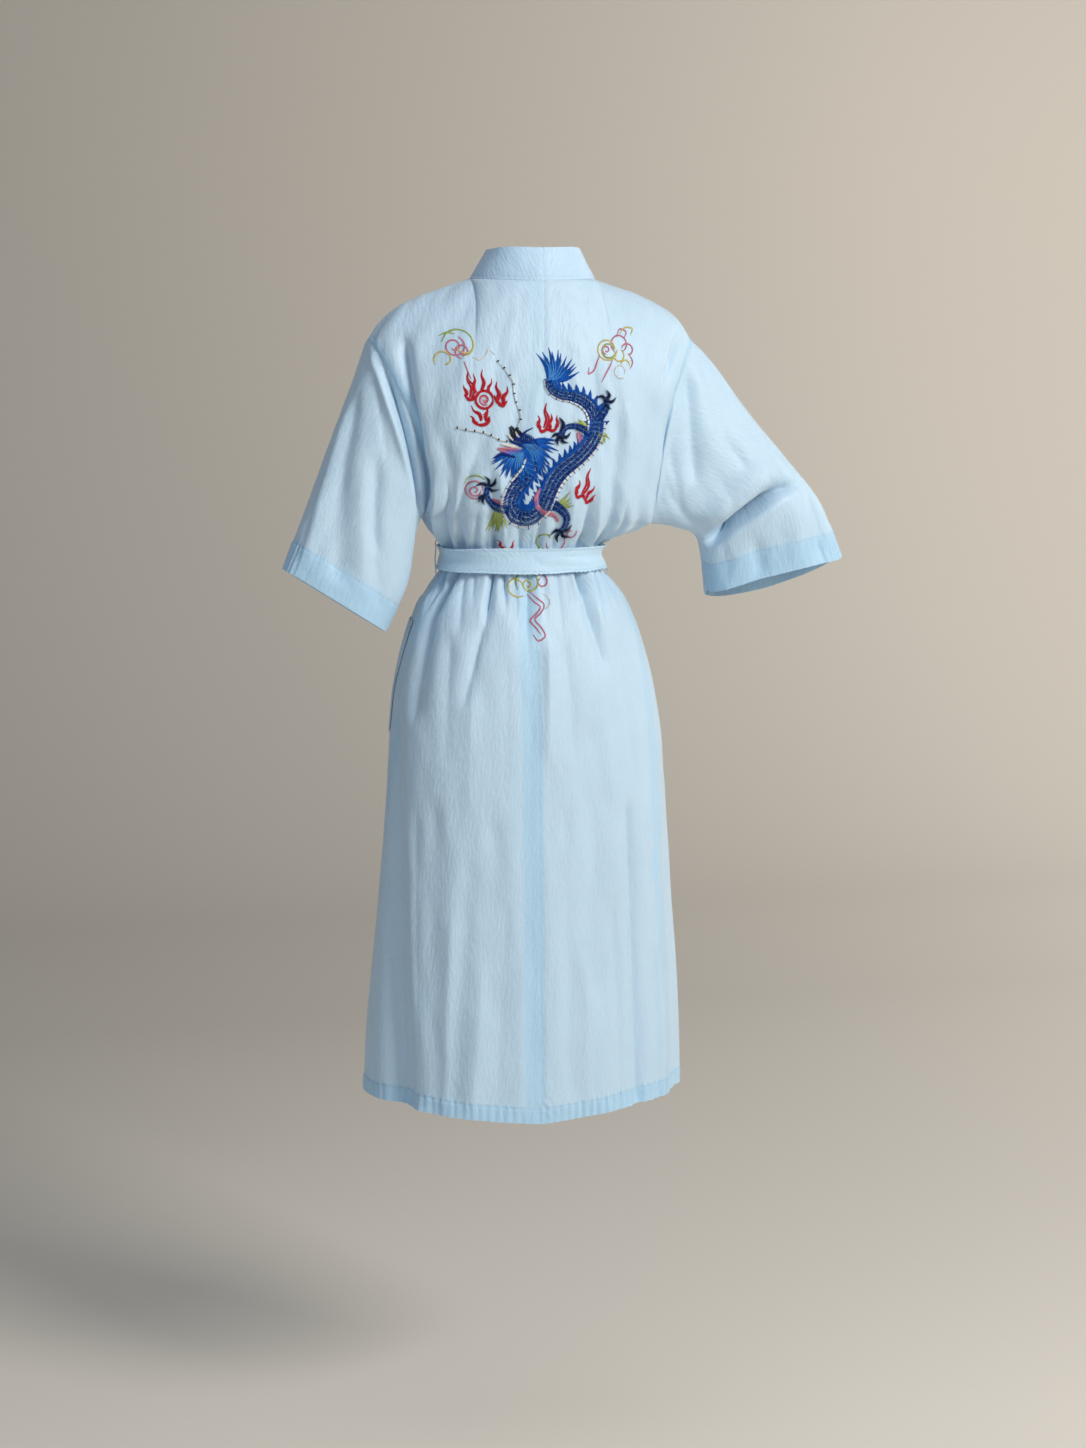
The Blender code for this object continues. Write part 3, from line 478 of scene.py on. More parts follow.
# Finer folds of both fronts, by x and level.
FINE_FRONT_FOLDS = (
    (118, -240, 104, -352, 6, 4, -2.2, -3.8),
    (84, -250, 76, -350, 6, 4, 1.9, 3.2),
    (32, -292, 30, -352, 5, 4, -1.3, -2.9),
    (-20, -288, -18, -352, 5, 4, -1.3, -2.9),
    (-68, -246, -62, -350, 6, 4, 1.6, 3.2),
    (-104, -250, -94, -352, 6, 4, -2.2, -3.5),
    (104, -392, 116, -470, 5, 8, 2.6, 1.3),
    (76, -392, 84, -470, 5, 8, -3.2, -1.3),
    (34, -392, 38, -450, 5, 7, -2.2, -1.0),
    (-24, -392, -28, -450, 5, 7, -2.2, -1.0),
    (-64, -392, -74, -470, 5, 8, 2.6, 1.3),
    (-98, -392, -112, -480, 5, 8, -3.2, -1.3),
    (96, -640, 104, -1115, 12, 16, -2.6, -3.5),
    (34, -760, 38, -1115, 12, 16, -2.2, -3.2),
    (-34, -800, -38, -1115, 12, 15, -1.9, -2.9),
    (-122, -700, -136, -1115, 12, 16, 2.2, 3.2),
    (60, -90, 36, -230, 10, 10, -1.9, -1.6),
    (-60, -90, -36, -230, 10, 10, -1.9, -1.6),
)

# Finer folds of each sleeve.
FINE_SLEEVE_FOLDS = {
    LEFT: (
        # along 1, round 1, along 2, round 2, width 1, width 2, depth 1, depth 2
        (14, 44, 90, 110, 6, 8, -2.6, -1.9),
        (30, 150, 96, 214, 7, 9, -3.8, -2.2),
        (60, 176, 140, 226, 6, 8, 2.6, 1.6),
        (96, 16, 300, 54, 10, 14, 2.2, 2.9),
        (120, 84, 300, 150, 9, 12, 2.2, 2.9),
        (180, 120, 300, 182, 8, 12, -2.2, -2.9),
        (12, 80, 60, 150, 5, 6, -2.4, -1.6),
        (230, 30, 325, 40, 8, 10, -1.6, -2.2),
        (60, -30, 220, -60, 10, 12, 2.2, 1.9),
        (30, -90, 150, -140, 8, 10, -2.9, -1.9),
        (150, -150, 320, -170, 10, 14, -2.6, -3.2),
    ),
    RIGHT: (
        (208, 84, 204, 160, 6, 8, -8.0, -14.0),
        (204, 140, 208, 224, 8, 9, -13.0, -8.0),
        (188, 76, 180, 170, 8, 9, 5.0, 6.0),
        (224, 80, 222, 190, 8, 9, 4.0, 6.0),
        (8, 30, 110, 90, 8, 10, -2.6, -1.6),
        (14, 80, 90, 166, 7, 9, 2.6, 1.9),
        (16, 130, 100, 190, 7, 9, -3.2, -2.2),
        (30, 168, 150, 214, 7, 9, -2.9, -3.2),
        (120, 128, 196, 160, 6, 8, -2.6, -3.2),
        (90, 30, 200, 60, 10, 12, 1.9, 2.2),
        (150, 20, 215, 46, 6, 8, -1.9, -2.6),
        (228, 80, 325, 108, 8, 10, 2.2, 2.2),
        (232, 106, 325, 128, 7, 9, -2.2, -2.6),
        (236, 190, 325, 196, 8, 10, -2.6, -1.9),
        (40, -40, 210, -70, 10, 12, 2.2, 1.9),
        (60, -120, 200, -170, 8, 10, -2.9, -2.2),
        (230, -40, 325, -56, 8, 10, -2.2, -2.6),
    ),
}

# How sharp the finer folds are at their bottoms: 2 is round.
CREASE = 1.45

# The crease along the bottom of each large fold that is no wider than this: its shares of the fold's width
# and depth, and its sharpness.
WIDEST_CREASED = 13
CORE_WIDTH = 0.5
CORE_DEPTH = 1.0
CORE_CREASE = 1.3

# Folds that end at the belt run on under it.
BELT_EDGES = (
    # level of the edge, the range about it in which such folds end, how far they run on
    (BELT_TOP, -8, 14, -22),
    (BELT_BOTTOM, -6, 14, 22),
)

# Small gathers that the belt makes: how many above and below it round the whole waist.
GATHERS = 46
GATHER_SEED = 7
GATHER_LENGTHS = (34, 92)
GATHER_WIDTHS = (2.8, 5.2)
GATHER_DEPTH = -6.5
WAIST_ROUND = 760

# The embroidery on the back, by distance across from the centre back seam, to the wearer's right, and down
# from the nape. Lines of the dragon also name their widths.
DRAGON_TAIL = (
    # across, down, width
    (-3, 128, 9),
    (1, 140, 13),
    (14, 148, 15),
    (31, 151, 16),
    (46, 157, 18),
    (58, 168, 21),
    (64, 182, 23),
    (63, 197, 23),
)
DRAGON_TRUNK = (
    (65, 184, 22),
    (62, 200, 23),
    (54, 214, 23),
    (42, 227, 23),
    (27, 239, 24),
    (13, 251, 25),
    (3, 266, 25),
    (-3, 282, 24),
    (-10, 299, 24),
    (-25, 310, 26),
    (-41, 306, 26),
    (-50, 292, 25),
    (-46, 276, 24),
    (-36, 263, 23),
    (-27, 250, 22),
    (-22, 236, 21),
)
DRAGON_LEGS = (
    # rows of each leg: across, down, width
    ((66, 184, 14), (74, 174, 11), (79, 163, 8), (77, 156, 6)),
    ((58, 202, 13), (44, 194, 10), (31, 190, 8), (20, 193, 8), (15, 201, 9)),
    ((-52, 300, 14), (-66, 297, 11), (-77, 289, 9), (-83, 279, 8), (-82, 270, 8)),
    ((4, 292, 15), (18, 300, 12), (27, 311, 10), (26, 324, 8), (21, 331, 8)),
)
DRAGON_CLAWS = (
    # across, down, length and the first and last claw's angle, 0 to the right and 90 down
    (78, 157, 13, -150, 75),
    (15, 203, 13, -5, 185),
    (15, 196, 17, -88, -86),
    (-81, 269, 15, -160, 25),
    (-84, 280, 12, 110, 150),
    (22, 330, 15, -25, 175),
)
DRAGON_FANS = (
    # colour, layer, across, down, first angle, last angle, strokes, length, width, bend
    ("royal", 1, -2, 131, -104, -8, 11, 42, 6.2, 7),
    ("azure", 2, -2, 130, -96, -20, 7, 30, 1.9, 6),
    ("royal", 3, -37, 214, -8, 66, 15, 46, 6.4, -6),
    ("royal", 3, -34, 222, 66, 174, 18, 44, 6.4, 6),
    ("azure", 4, -36, 214, 6, 54, 7, 30, 1.9, -5),
    ("azure", 4, -36, 224, 80, 164, 9, 28, 1.9, 5),
    ("leaf", 1, 56, 199, -168, -128, 6, 24, 4.6, 3),
    ("leaf", 1, 67, 196, 34, 82, 6, 20, 4.4, -2),
    ("leaf", 1, 7, 296, -36, 8, 7, 26, 4.4, 3),
    ("leaf", 1, -68, 299, 58, 104, 7, 30, 5.0, -3),
)
DRAGON_HEAD = (
    # colour, layer, then across, down and width of each point
    ("navy", 4, ((-54, 208, 6), (-46, 207, 15), (-36, 208, 19), (-26, 212, 17), (-18, 219, 8))),
    ("rose", 3, ((-70, 219, 3), (-60, 221, 8), (-48, 222, 9), (-38, 222, 4))),
    ("white", 4, ((-66, 213, 2), (-57, 214, 5), (-48, 216, 5), (-42, 217, 2))),
    ("navy", 5, ((-74, 231, 3), (-66, 226, 5), (-56, 228, 4), (-46, 230, 3))),
    ("black", 5, ((-53, 190, 4), (-50, 196, 8), (-49, 203, 8), (-52, 209, 4))),
    ("black", 5, ((-46, 193, 3), (-41, 197, 5), (-38, 200, 3))),
    ("white", 6, ((-57, 200, 2), (-54, 204, 3.4), (-50, 208, 2))),
    ("white", 6, ((-46, 197, 1.6), (-44, 201, 3), (-41, 204, 1.6))),
    ("navy", 5, ((-40, 205, 4), (-33, 197, 3), (-24, 192, 1.4))),
    ("rose", 3, ((-12, 272, 4), (-17, 284, 7), (-14, 296, 7), (-4, 304, 7), (9, 308, 6), (17, 316, 4))),
    ("rose", 1, ((38, 199, 5), (41, 208, 9), (46, 216, 4))),
    ("rose", 1, ((-76, 286, 3), (-68, 289, 7), (-60, 292, 3))),
)
WHISKERS = (
    # points across and down
    ((-43, 192), (-39, 181), (-40, 169), (-46, 157), (-49, 144), (-50, 131), (-57, 118), (-68, 105)),
    ((-58, 209), (-66, 208), (-74, 203), (-85, 198), (-97, 196), (-109, 194), (-122, 191)),
)
FLAMES = (
    # base across, base down, tip across, tip down, sway, width
    (-104, 152, -108, 118, 6, 8),
    (-110, 150, -114, 136, 2, 6),
    (-98, 146, -101, 122, -4, 6),
    (-90, 142, -89, 116, 4, 6),
    (-81, 146, -77, 128, -3, 5),
    (-70, 156, -70, 132, 4, 7),
    (-62, 160, -57, 138, -4, 7),
    (-96, 186, -106, 176, -3, 6),
    (-91, 182, -104, 163, 4, 6),
    (-84, 182, -84, 164, -3, 7),
    (-13, 193, -17, 176, -4, 7),
    (-7, 192, -5, 160, 5, 8),
    (1, 193, 1, 174, -4, 7),
    (8, 192, 10, 176, 3, 6),
    (38, 280, 41, 262, -4, 7),
    (46, 280, 57, 246, 5, 8),
    (53, 286, 63, 270, -3, 6),
    (56, 291, 65, 282, 2, 5),
    (-53, 352, -60, 342, -3, 4),
    (-43, 352, -40, 343, 2, 4),
)
FLAME_FEET = (
    # across and down of each low stroke that joins a flame's tongues
    ((-113, 149), (-106, 155), (-98, 151), (-92, 144)),
    ((-74, 150), (-70, 158), (-63, 163), (-58, 157)),
    ((-98, 187), (-90, 188), (-82, 184), (-81, 177)),
    ((-16, 190), (-12, 197), (-3, 194), (4, 196), (11, 190)),
    ((35, 277), (38, 284), (46, 282), (54, 292), (60, 287)),
    ((-56, 351), (-48, 355), (-40, 353)),
)
PEARL = (-87, 155, 11.5)
CLOUDS = (
    # colour, across, down, first radius, last radius, first angle, sweep
    ("leaf", -116, 84, 22, 15, 190, 250),
    ("gold", -136, 103, 13, 6, 150, 300),
    ("rose", -123, 86, 14, 4, -60, 560),
    ("rose", -113, 92, 10, 4, 100, 400),
    ("gold", -112, 84, 15, 8, -40, 200),
    ("gold", 81, 91, 14, 12, 0, 355),
    ("leaf", 83, 92, 10, 8, 30, 340),
    ("rose", 80, 91, 6, 2, 100, 400),
    ("rose", 100, 84, 13, 10, 130, 290),
    ("gold", 97, 99, 9, 5, -60, 320),
    ("white", 99, 119, 10, 6, 60, 330),
    ("rose", 112, 92, 10, 5, 200, 260),
    ("gold", 108, 112, 9, 5, 190, 170),
    ("rose", -97, 272, 13, 9, 60, 310),
    ("leaf", -96, 268, 15, 13, 190, 130),
    ("rose", -98, 274, 8, 2, 0, 460),
    ("leaf", 2, 343, 11, 8, 90, 250),
    ("rose", 16, 346, 15, 11, -30, 210),
    ("rose", 36, 333, 8, 3, -20, 300),
    ("gold", -36, 404, 14, 8, 60, 290),
    ("leaf", -20, 399, 17, 10, 150, 330),
    ("gold", -20, 402, 9, 2, 20, 480),
    ("rose", -2, 398, 9, 4, -80, 330),
)
CLOUD_TAILS = (
    # colour, then across and down of each point
    ("rose", ((70, 98), (66, 108), (61, 119), (54, 122), (55, 114))),
    ("rose", ((88, 104), (83, 114), (77, 124), (72, 133))),
    ("rose", ((96, 74), (104, 64), (112, 68), (108, 76))),
    ("gold", ((102, 70), (112, 62), (122, 64), (118, 72))),
    ("rose", ((114, 98), (118, 108), (114, 116))),
    ("white", ((-100, 100), (-92, 103), (-84, 98), (-80, 90), (-72, 97))),
    ("leaf", ((-140, 72), (-130, 68), (-120, 70))),
    ("rose", ((-112, 106), (-108, 118), (-104, 128))),
    ("rose", ((-18, 412), (-10, 420), (-2, 428), (-8, 438), (-16, 446), (-8, 458), (-4, 468), (-14, 474),
              (-20, 466))),
    ("rose", ((-22, 414), (-15, 424), (-8, 430), (-15, 440), (-22, 448), (-15, 458), (-10, 466))),
    ("white", ((-2, 414), (6, 420), (4, 430), (-4, 434))),
)

# The map of the back's depth under its embroidery, and how far each thread rises.
MAP_ACROSS = (-170.0, 160.0)
MAP_DOWN = (30.0, 486.0)
MAP_STEP = 2.0
SCALE_THREAD = 0.65
THREAD_RISE = 0.55
THREAD_SUNK = 0.1
THREAD_ENDS = (0.0, 0.16, 0.84, 1.0)
SCALE_SIZE = 2.6
TICK_THREAD = 1.2
WHISKER_WIDTH = 1.9
CLAW_WIDTH = 5.6
CLAW_BEND = 6
THREAD_FACES = ((0, 2, 1), (0, 3, 2), (0, 1, 3), (1, 2, 5, 4), (2, 3, 6, 5), (3, 1, 4, 6),
                (4, 5, 7), (5, 6, 7), (6, 4, 7))

# Twist of the belt loops' thread, and how much further out the right loop goes, where the belt bulges at its
# seam.
LOOP_TWIST = 6.0
LOOP_CLEARANCE = 2.5

# The knot's wrap and how square the knot is, and the folded band.
KNOT_WRAP = 0.42
KNOT_STEP = 0.09
KNOT_SQUARE = 0.72
BAND_THICK = 1.6

# Colours, as sRGB codes.
CLOTH_COLOUR = "#C0D9EC"
DOUBLED_COLOUR = "#AED3ED"
BELT_COLOUR = "#C3E0F3"
# Painted shade: the sewing thread is darker than the cloth, for the small shadows of its stitch holes.
THREAD_COLOUR_WITH_PAINTED_SHADE = "#A3C1D6"
# How strongly these pieces, which are folded over as a whole, take the doubled colour.
DOUBLED_ALL_OVER = {"belt": 1.0, "collar": 0.2, "pocket": 0.2}
# Width and length of the yarn's slubs and of the crinkles, with their heights.
SLUB = (1.1, 30)
SLUB_HEIGHT = 0.4
CRINKLE = (4, 13)
CRINKLE_HEIGHT = 1.4
# How many patches of dye, and how many strands of thread, lie within a metre.
MOTTLING = 14.0
STRANDS = 420.0
EMBROIDERY_COLOURS = {
    "royal": "#0A5EBC",
    "azure": "#5BA6E2",
    "navy": "#0B3488",
    "ink": "#0D1B45",
    "leaf": "#B9C877",
    "rose": "#DE90A4",
    "gold": "#E8D98A",
    "white": "#F1F1EC",
    "black": "#24252C",
    "red": "#CF2434",
}
PAPER = "#C9C2B8"
ROOM_COLOUR = "#DCE8F4"
ROOM_LIGHT = 0.30

# Backdrop and camera.
FLOOR_LEVEL = -1.60
BACKDROP_DISTANCE = 5.6
BACKDROP_BEND = 2.0
BACKDROP_TOP = 3.4
BACKDROP_SIDE = 6.0
# Painted light and shade on the backdrop: its colour is graded paler to the wearer's right and the floor's
# front.
PAPER_PAINTED_LIGHT = (
    # axis, from, to, share there, share here
    ("X", 0.6, -2.6, 0.90, 1.04),
    ("Y", -2.5, 0.1, 1.0, 1.48),
)
CAMERA_PLACE = (0.980, 3.930, -0.036)
CAMERA_YAW = 14.208
CAMERA_PITCH = 7.9
CAMERA_LENS = 24 * 3000 / 1448
LIGHTS = (
    # name, place, aim, size, power, colour
    ("key light", (-2.1, 3.2, 1.6), (-0.05, 0.05, -0.5), (1.5, 1.5), 150, "#FFFBF5"),
    ("fill light", (2.8, 2.4, 0.3), (0.05, 0.0, -0.6), (2.0, 2.0), 12, "#DDE9FA"),
    ("top light", (0.0, 0.4, 2.4), (0.0, 0.0, -0.5), (2.0, 2.0), 8, "#F4F8FF"),
    ("backdrop light", (-4.4, -2.0, 0.8), (-1.4, -5.4, -0.9), (2.0, 2.0), 100, "#FFFAF2"),
)


def smooth(table, at):
    """Values of a table's other columns at points of its first, on a smooth curve through its rows."""
    rows = np.array(table, float)
    rows = rows[np.argsort(rows[:, 0])]
    keys, values = rows[:, 0], rows[:, 1:]
    slopes = np.gradient(values, keys, axis=0)
    at = np.clip(np.asarray(at, float), keys[0], keys[-1])
    low = np.clip(np.searchsorted(keys, at) - 1, 0, len(keys) - 2)
    span = (keys[low + 1] - keys[low])[..., None]
    t = (at - keys[low])[..., None] / span
    return ((1 + 2 * t) * (1 - t) ** 2 * values[low] + t * (1 - t) ** 2 * span * slopes[low]
            + t * t * (3 - 2 * t) * values[low + 1] - t * t * (1 - t) * span * slopes[low + 1])


def ease(start, end, at):
    """0 before start, 1 after end and a smooth step between them."""
    t = np.clip((np.asarray(at, float) - start) / (end - start), 0, 1)
    return t * t * (3 - 2 * t)


def armhole(side, share, face):
    """Points of the armhole seam, from the shoulder tip at share 0 to the underarm at 1."""
    hole = ARMHOLES[side]
    tip = np.array(SHOULDER_SEAM[-1], float) * (side, 1, 1)
    under = np.array(hole["under"], float)
    share = np.asarray(share, float)
    height = (1 + np.cos(math.pi * share)) / 2
    depth = hole["back_depth"] if face == BACK else hole["front_depth"]
    x = under[0] + (tip[0] - under[0]) * height ** hole["bow"]
    y = under[1] + (tip[1] - under[1]) * height + face * depth * np.sin(math.pi * share) ** 0.8
    z = under[2] + (tip[2] - under[2]) * height
    return np.stack([x, y, z], -1)


def section(turn, centre_back, centre_front, left, right):
    """Points round one row. Turn is in radians from the middle of the back, towards the wearer's left."""
    across, along = np.sin(turn), np.cos(turn)
    bulge = 2 / FULLNESS
    reach, depth = np.abs(across) ** bulge, np.abs(along) ** bulge
    centre = np.where((along > 0)[..., None], centre_back, centre_front)
    side = np.where((across > 0)[..., None], left, right)
    share = np.stack([reach, 1 - depth, reach], -1)
    return centre + (side - centre) * share


def side_points(side, level):
    """Outermost points of one side below the underarm."""
    lines = smooth(SIDE_LINES, level)
    columns = (0, 1) if side == LEFT else (2, 3)
    x, y = lines[..., columns[0]], lines[..., columns[1]]
    fade = 1 - ease(UNDERARM_LEVEL, BELT_TOP, level)
    drop = ARMHOLES[side]["under"][2] - UNDERARM_LEVEL
    rise = HEM_SIDE_RISE * ease(HEM_RISE_START, HEM_LEVEL, level)
    return np.stack([x, y, level + drop * fade + rise], -1)


def row_frame(levels, shares):
    """Middle points of the back and front of each row, and its side points on each side and face."""
    lines = smooth(CENTRE_LINES, levels)
    centre_back = np.stack([lines[..., 0], lines[..., 1], levels], -1)
    centre_front = np.stack([lines[..., 2], lines[..., 3], levels], -1)
    above = (shares < 1)[..., None]
    sides = {}
    for side in (LEFT, RIGHT):
        low = side_points(side, np.minimum(levels, UNDERARM_LEVEL))
        for face in (BACK, FRONT):
            sides[side, face] = np.where(above, armhole(side, np.minimum(shares, 1), face), low)
    return centre_back, centre_front, sides


def body_rows(yoke_shares=YOKE_SHARES, lower=LOWER_LEVELS):
    """Level of each row, and its share of the way down the armhole, which is 1 below the underarm."""
    shares = np.concatenate([yoke_shares, np.ones(len(lower))])
    levels = np.concatenate([np.array(yoke_shares) * UNDERARM_LEVEL, np.array(lower, float)])
    return levels, shares


def round_over(start_to_end):
    """Rises from 0 to 1 like the edge of a rounded shoulder, steep at first."""
    left = 1 - np.clip(start_to_end, 0, 1)
    return np.sqrt(1 - left * left)


def over_shoulder(yoke, wrapped, shares):
    """Joins the shape under the shoulder seam to the shape round the body, over a rounded shoulder."""
    deep = round_over(shares / SHOULDER_ROUND)
    blend = np.stack([ease(0, 0.6, shares), deep, ease(0, 0.4, shares)], -1)[:, None]
    return np.where((shares < 1)[:, None, None], yoke + (wrapped - yoke) * blend, wrapped)


def shoulder_points(side, shares):
    """Points of the shoulder seam, from the side of the neck at 0 to the tip at 1."""
    seam = np.array(SHOULDER_SEAM, float)
    steps = np.concatenate([[0], np.cumsum(np.linalg.norm(np.diff(seam, axis=0), axis=1))])
    table = np.column_stack([steps / steps[-1], seam])
    return smooth(table, shares) * (side, 1, 1)


def back_panel(side, rows, neck_columns=NECK_COLUMNS, shoulder_columns=SHOULDER_COLUMNS):
    """Middle surface of one back panel: rows from the neck down, columns from the centre seam to the side."""
    levels, shares = rows
    centre_back, centre_front, sides = row_frame(levels, shares)
    columns = neck_columns + shoulder_columns
    along = np.linspace(0, 1, columns + 1)
    seam_turn = np.radians(smooth(SIDE_SEAM_TURN, levels)[:, 0 if side == LEFT else 1])
    turn = side * along[None, :] * seam_turn[:, None]
    wrapped = section(turn, centre_back[:, None], centre_front[:, None],
                      sides[LEFT, BACK][:, None], sides[RIGHT, BACK][:, None])
    quarter = np.linspace(0, math.pi / 2, neck_columns + 1)[:-1]
    neck = np.stack([NECK_SIDE[0] * np.sin(quarter) * side,
                     NECK_SIDE[1] + (NAPE[1] - NECK_SIDE[1]) * np.cos(quarter),
                     NECK_SIDE[2] * np.sin(quarter) ** 2], -1)
    top = np.concatenate([neck, shoulder_points(side, np.linspace(0, 1, shoulder_columns + 1))])
    shape = (top - top[0]) / (top[-1] - top[0])
    yoke = wrapped[:, :1] + (wrapped[:, -1:] - wrapped[:, :1]) * shape[None]
    return over_shoulder(yoke, wrapped, shares)


def front_panel(side, rows, shoulder_columns=SHOULDER_COLUMNS, band_columns=0):
    """Middle surface of one front panel: rows from the shoulder down, columns from the side to the edge.

    With band columns it is the strip past that edge, for the width of the band.
    """
    levels, shares = rows
    centre_back, centre_front, sides = row_frame(levels, shares)
    seam_turn = np.radians(smooth(SIDE_SEAM_TURN, levels)[:, 0 if side == LEFT else 1])
    seam_turn = np.where(shares < 1, math.pi / 2, seam_turn)
    edge = smooth(FRONT_EDGE, levels)[:, 0] * side
    centre_x = centre_front[:, 0]

    def turn_of(x):
        near = np.where((x - centre_x) * side > 0, sides[side, FRONT][:, 0], sides[-side, FRONT][:, 0])
        reach = np.clip(np.abs((x - centre_x) / (near - centre_x)), 0, 1)
        tilt = np.arcsin(reach ** (FULLNESS / 2)) * np.sign((x - centre_x) * side)
        return side * (math.pi - tilt)

    along = np.linspace(0, 1, shoulder_columns + 1)
    start, end = side * seam_turn, turn_of(edge)
    turn = start[:, None] + (end - start)[:, None] * along[None]
    if band_columns:
        past = turn_of(edge - side * FRONT_BAND_WIDTH)
        steps = np.linspace(0, 1, band_columns + 1)
        turn = end[:, None] + (past - end)[:, None] * steps[None]
    wrapped = section(turn, centre_back[:, None], centre_front[:, None],
                      sides[LEFT, FRONT][:, None], sides[RIGHT, FRONT][:, None])
    top = shoulder_points(side, np.linspace(1, 0, shoulder_columns + 1))
    if band_columns:
        edge_points = front_panel(side, rows, shoulder_columns)[:, -1:]
        return edge_points + (wrapped - wrapped[:, :1])
    shape = (top - top[0]) / (top[-1] - top[0])
    target = wrapped[:, -1:].copy()
    target[0, 0] = top[-1]
    tied = wrapped[:, :1] + (target - wrapped[:, :1]) * shape[None]
    return over_shoulder(tied, wrapped, shares)


def sleeve_surface(side, rings=SLEEVE_RINGS, yoke_shares=YOKE_SHARES):
    """Middle surface of one sleeve: rings from the armhole to the cuff, columns round the arm from the top.

    The columns meet those of the panels' rows at the armhole.
    """
    share = np.linspace(0, 1, rings + 1)
    half_columns = len(yoke_shares) - 1
    lines = smooth(SLEEVE_LINES[side], share)
    top, under = lines[:, None, 0:3], lines[:, None, 3:6]
    back_depth, front_depth = lines[:, None, 6], lines[:, None, 7]
    down = np.array(yoke_shares, float)
    down = np.concatenate([down, down[-2:0:-1]])
    face = np.concatenate([np.ones(half_columns + 1), -np.ones(half_columns - 1)])
    height = (1 + np.cos(math.pi * down)) / 2
    bow = 1 + (ARMHOLES[side]["bow"] - 1) * (1 - ease(0, 0.5, share))[:, None]
    point = under + (top - under) * height[None, :, None]
    point[..., 0] = (under + (top - under) * (height[None, :] ** bow)[..., None])[..., 0]
    depth = np.where(face > 0, back_depth, front_depth)
    swell = np.sin(math.pi * down)[None] ** 0.8
    point[..., 1] += face[None] * depth * swell
    if side == RIGHT:
        tilt = RIGHT_CUFF_TILT * ease(0.45, 1, share)[:, None]
        point[..., 2] -= tilt * (1 - face[None] * swell) / 2 * np.sin(math.pi * down)[None] ** 0.5
    return point


def fold_depth(folds, along, across, power=2.0):
    """Sum of soft folds at points of the cloth. A trough has negative depths; a lower power is sharper."""
    total = np.zeros(np.shape(along))
    for along_1, across_1, along_2, across_2, width_1, width_2, depth_1, depth_2 in folds:
        run, rise = along_2 - along_1, across_2 - across_1
        length = math.hypot(run, rise)
        t = ((along - along_1) * run + (across - across_1) * rise) / length ** 2
        off = ((along - along_1) * rise - (across - across_1) * run) / length
        end = min(FOLD_END / length, 0.5)
        share = np.clip(t, 0, 1)
        width = width_1 + (width_2 - width_1) * share
        depth = depth_1 + (depth_2 - depth_1) * share
        ends = ease(-end / 2, end, t) * (1 - ease(1 - end, 1 + end / 2, t))
        total += depth * ends * np.exp(-np.abs(off / width) ** power)
    return total


def row_distance(points, start):
    """Distance along each row from its first column, after a start value."""
    steps = np.linalg.norm(np.diff(points, axis=1), axis=2)
    return start[:, None] + np.concatenate([np.zeros((len(points), 1)), np.cumsum(steps, axis=1)], axis=1)


def own_normals(piece):
    """Unit normals from a piece's own points only."""
    grid = piece["now"]
    if piece["closed"]:
        across = np.roll(grid, -1, axis=1) - np.roll(grid, 1, axis=1)
    else:
        across = np.gradient(grid, axis=1)
    normal = np.cross(np.gradient(grid, axis=0), across) * piece["outward"]
    return normal / np.maximum(np.linalg.norm(normal, axis=-1, keepdims=True), 1e-9)


def number_points(pieces):
    """Numbers the points of the cloth, with one number where pieces are sewn together. Returns the count."""
    points = np.concatenate([piece["base"].reshape(-1, 3) for piece in pieces])
    tree = KDTree(len(points))
    for number, point in enumerate(points):
        tree.insert(point, number)
    tree.balance()
    numbers = np.arange(len(points))
    start = 0
    for piece in pieces:
        grid = np.arange(start, start + piece["base"].size // 3).reshape(piece["base"].shape[:2])
        for number in np.concatenate([grid[0], grid[-1], grid[:, 0], grid[:, -1]]):
            numbers[number] = min(found[1] for found in tree.find_range(points[number], 0.02))
        piece["ids"] = numbers[grid]
        start += grid.size
    return len(points)


def shared_mean(pieces, name, count):
    """Mean of the pieces' values at each numbered point."""
    width = pieces[0][name].reshape(pieces[0]["ids"].size, -1).shape[1]
    total, uses = np.zeros((count, width)), np.zeros((count, 1))
    for piece in pieces:
        ids = piece["ids"].reshape(-1)
        np.add.at(total, ids, piece[name].reshape(len(ids), -1))
        np.add.at(uses, ids, 1)
    return total / np.maximum(uses, 1)


def find_normals(pieces, count):
    """Outward normals of the pieces, shared where they are sewn together."""
    for piece in pieces:
        piece["own"] = own_normals(piece)
    shared = shared_mean(pieces, "own", count)
    shared /= np.maximum(np.linalg.norm(shared, axis=1, keepdims=True), 1e-9)
    for piece in pieces:
        piece["normal"] = shared[piece["ids"]]


def sew(pieces):
    """Moves every piece's points out by its folds, together at the seams, and gives them shared normals."""
    count = number_points(pieces)
    for piece in pieces:
        piece["now"] = piece["base"]
    find_normals(pieces, count)
    moved = shared_mean(pieces, "fold", count)
    for piece in pieces:
        piece["now"] = piece["base"] + piece["normal"] * moved[piece["ids"]]
    find_normals(pieces, count)


def piece_of(base, fold, outward, closed=False):
    """A piece of cloth: its points before folding, how far its folds move them, and which way it faces."""
    return {"base": base, "fold": np.broadcast_to(fold, base.shape[:2]), "outward": outward, "closed": closed}


def overlap_offset(side, base):
    """The wearer's left front lies over the right one, so they step apart where they overlap."""
    toward = 1 - ease(60, 120, base[..., 0] * side)
    low = 1 - ease(-105, -55, base[..., 2])
    return side * OVERLAP_STEP * toward * low


def front_fold(side, base):
    """Folds of one front and its band, with the step where the fronts overlap."""
    folds = fold_depth(FRONT_FOLDS, base[..., 0], base[..., 2])
    return overlap_offset(side, base) + folds * (base[..., 1] < 0)


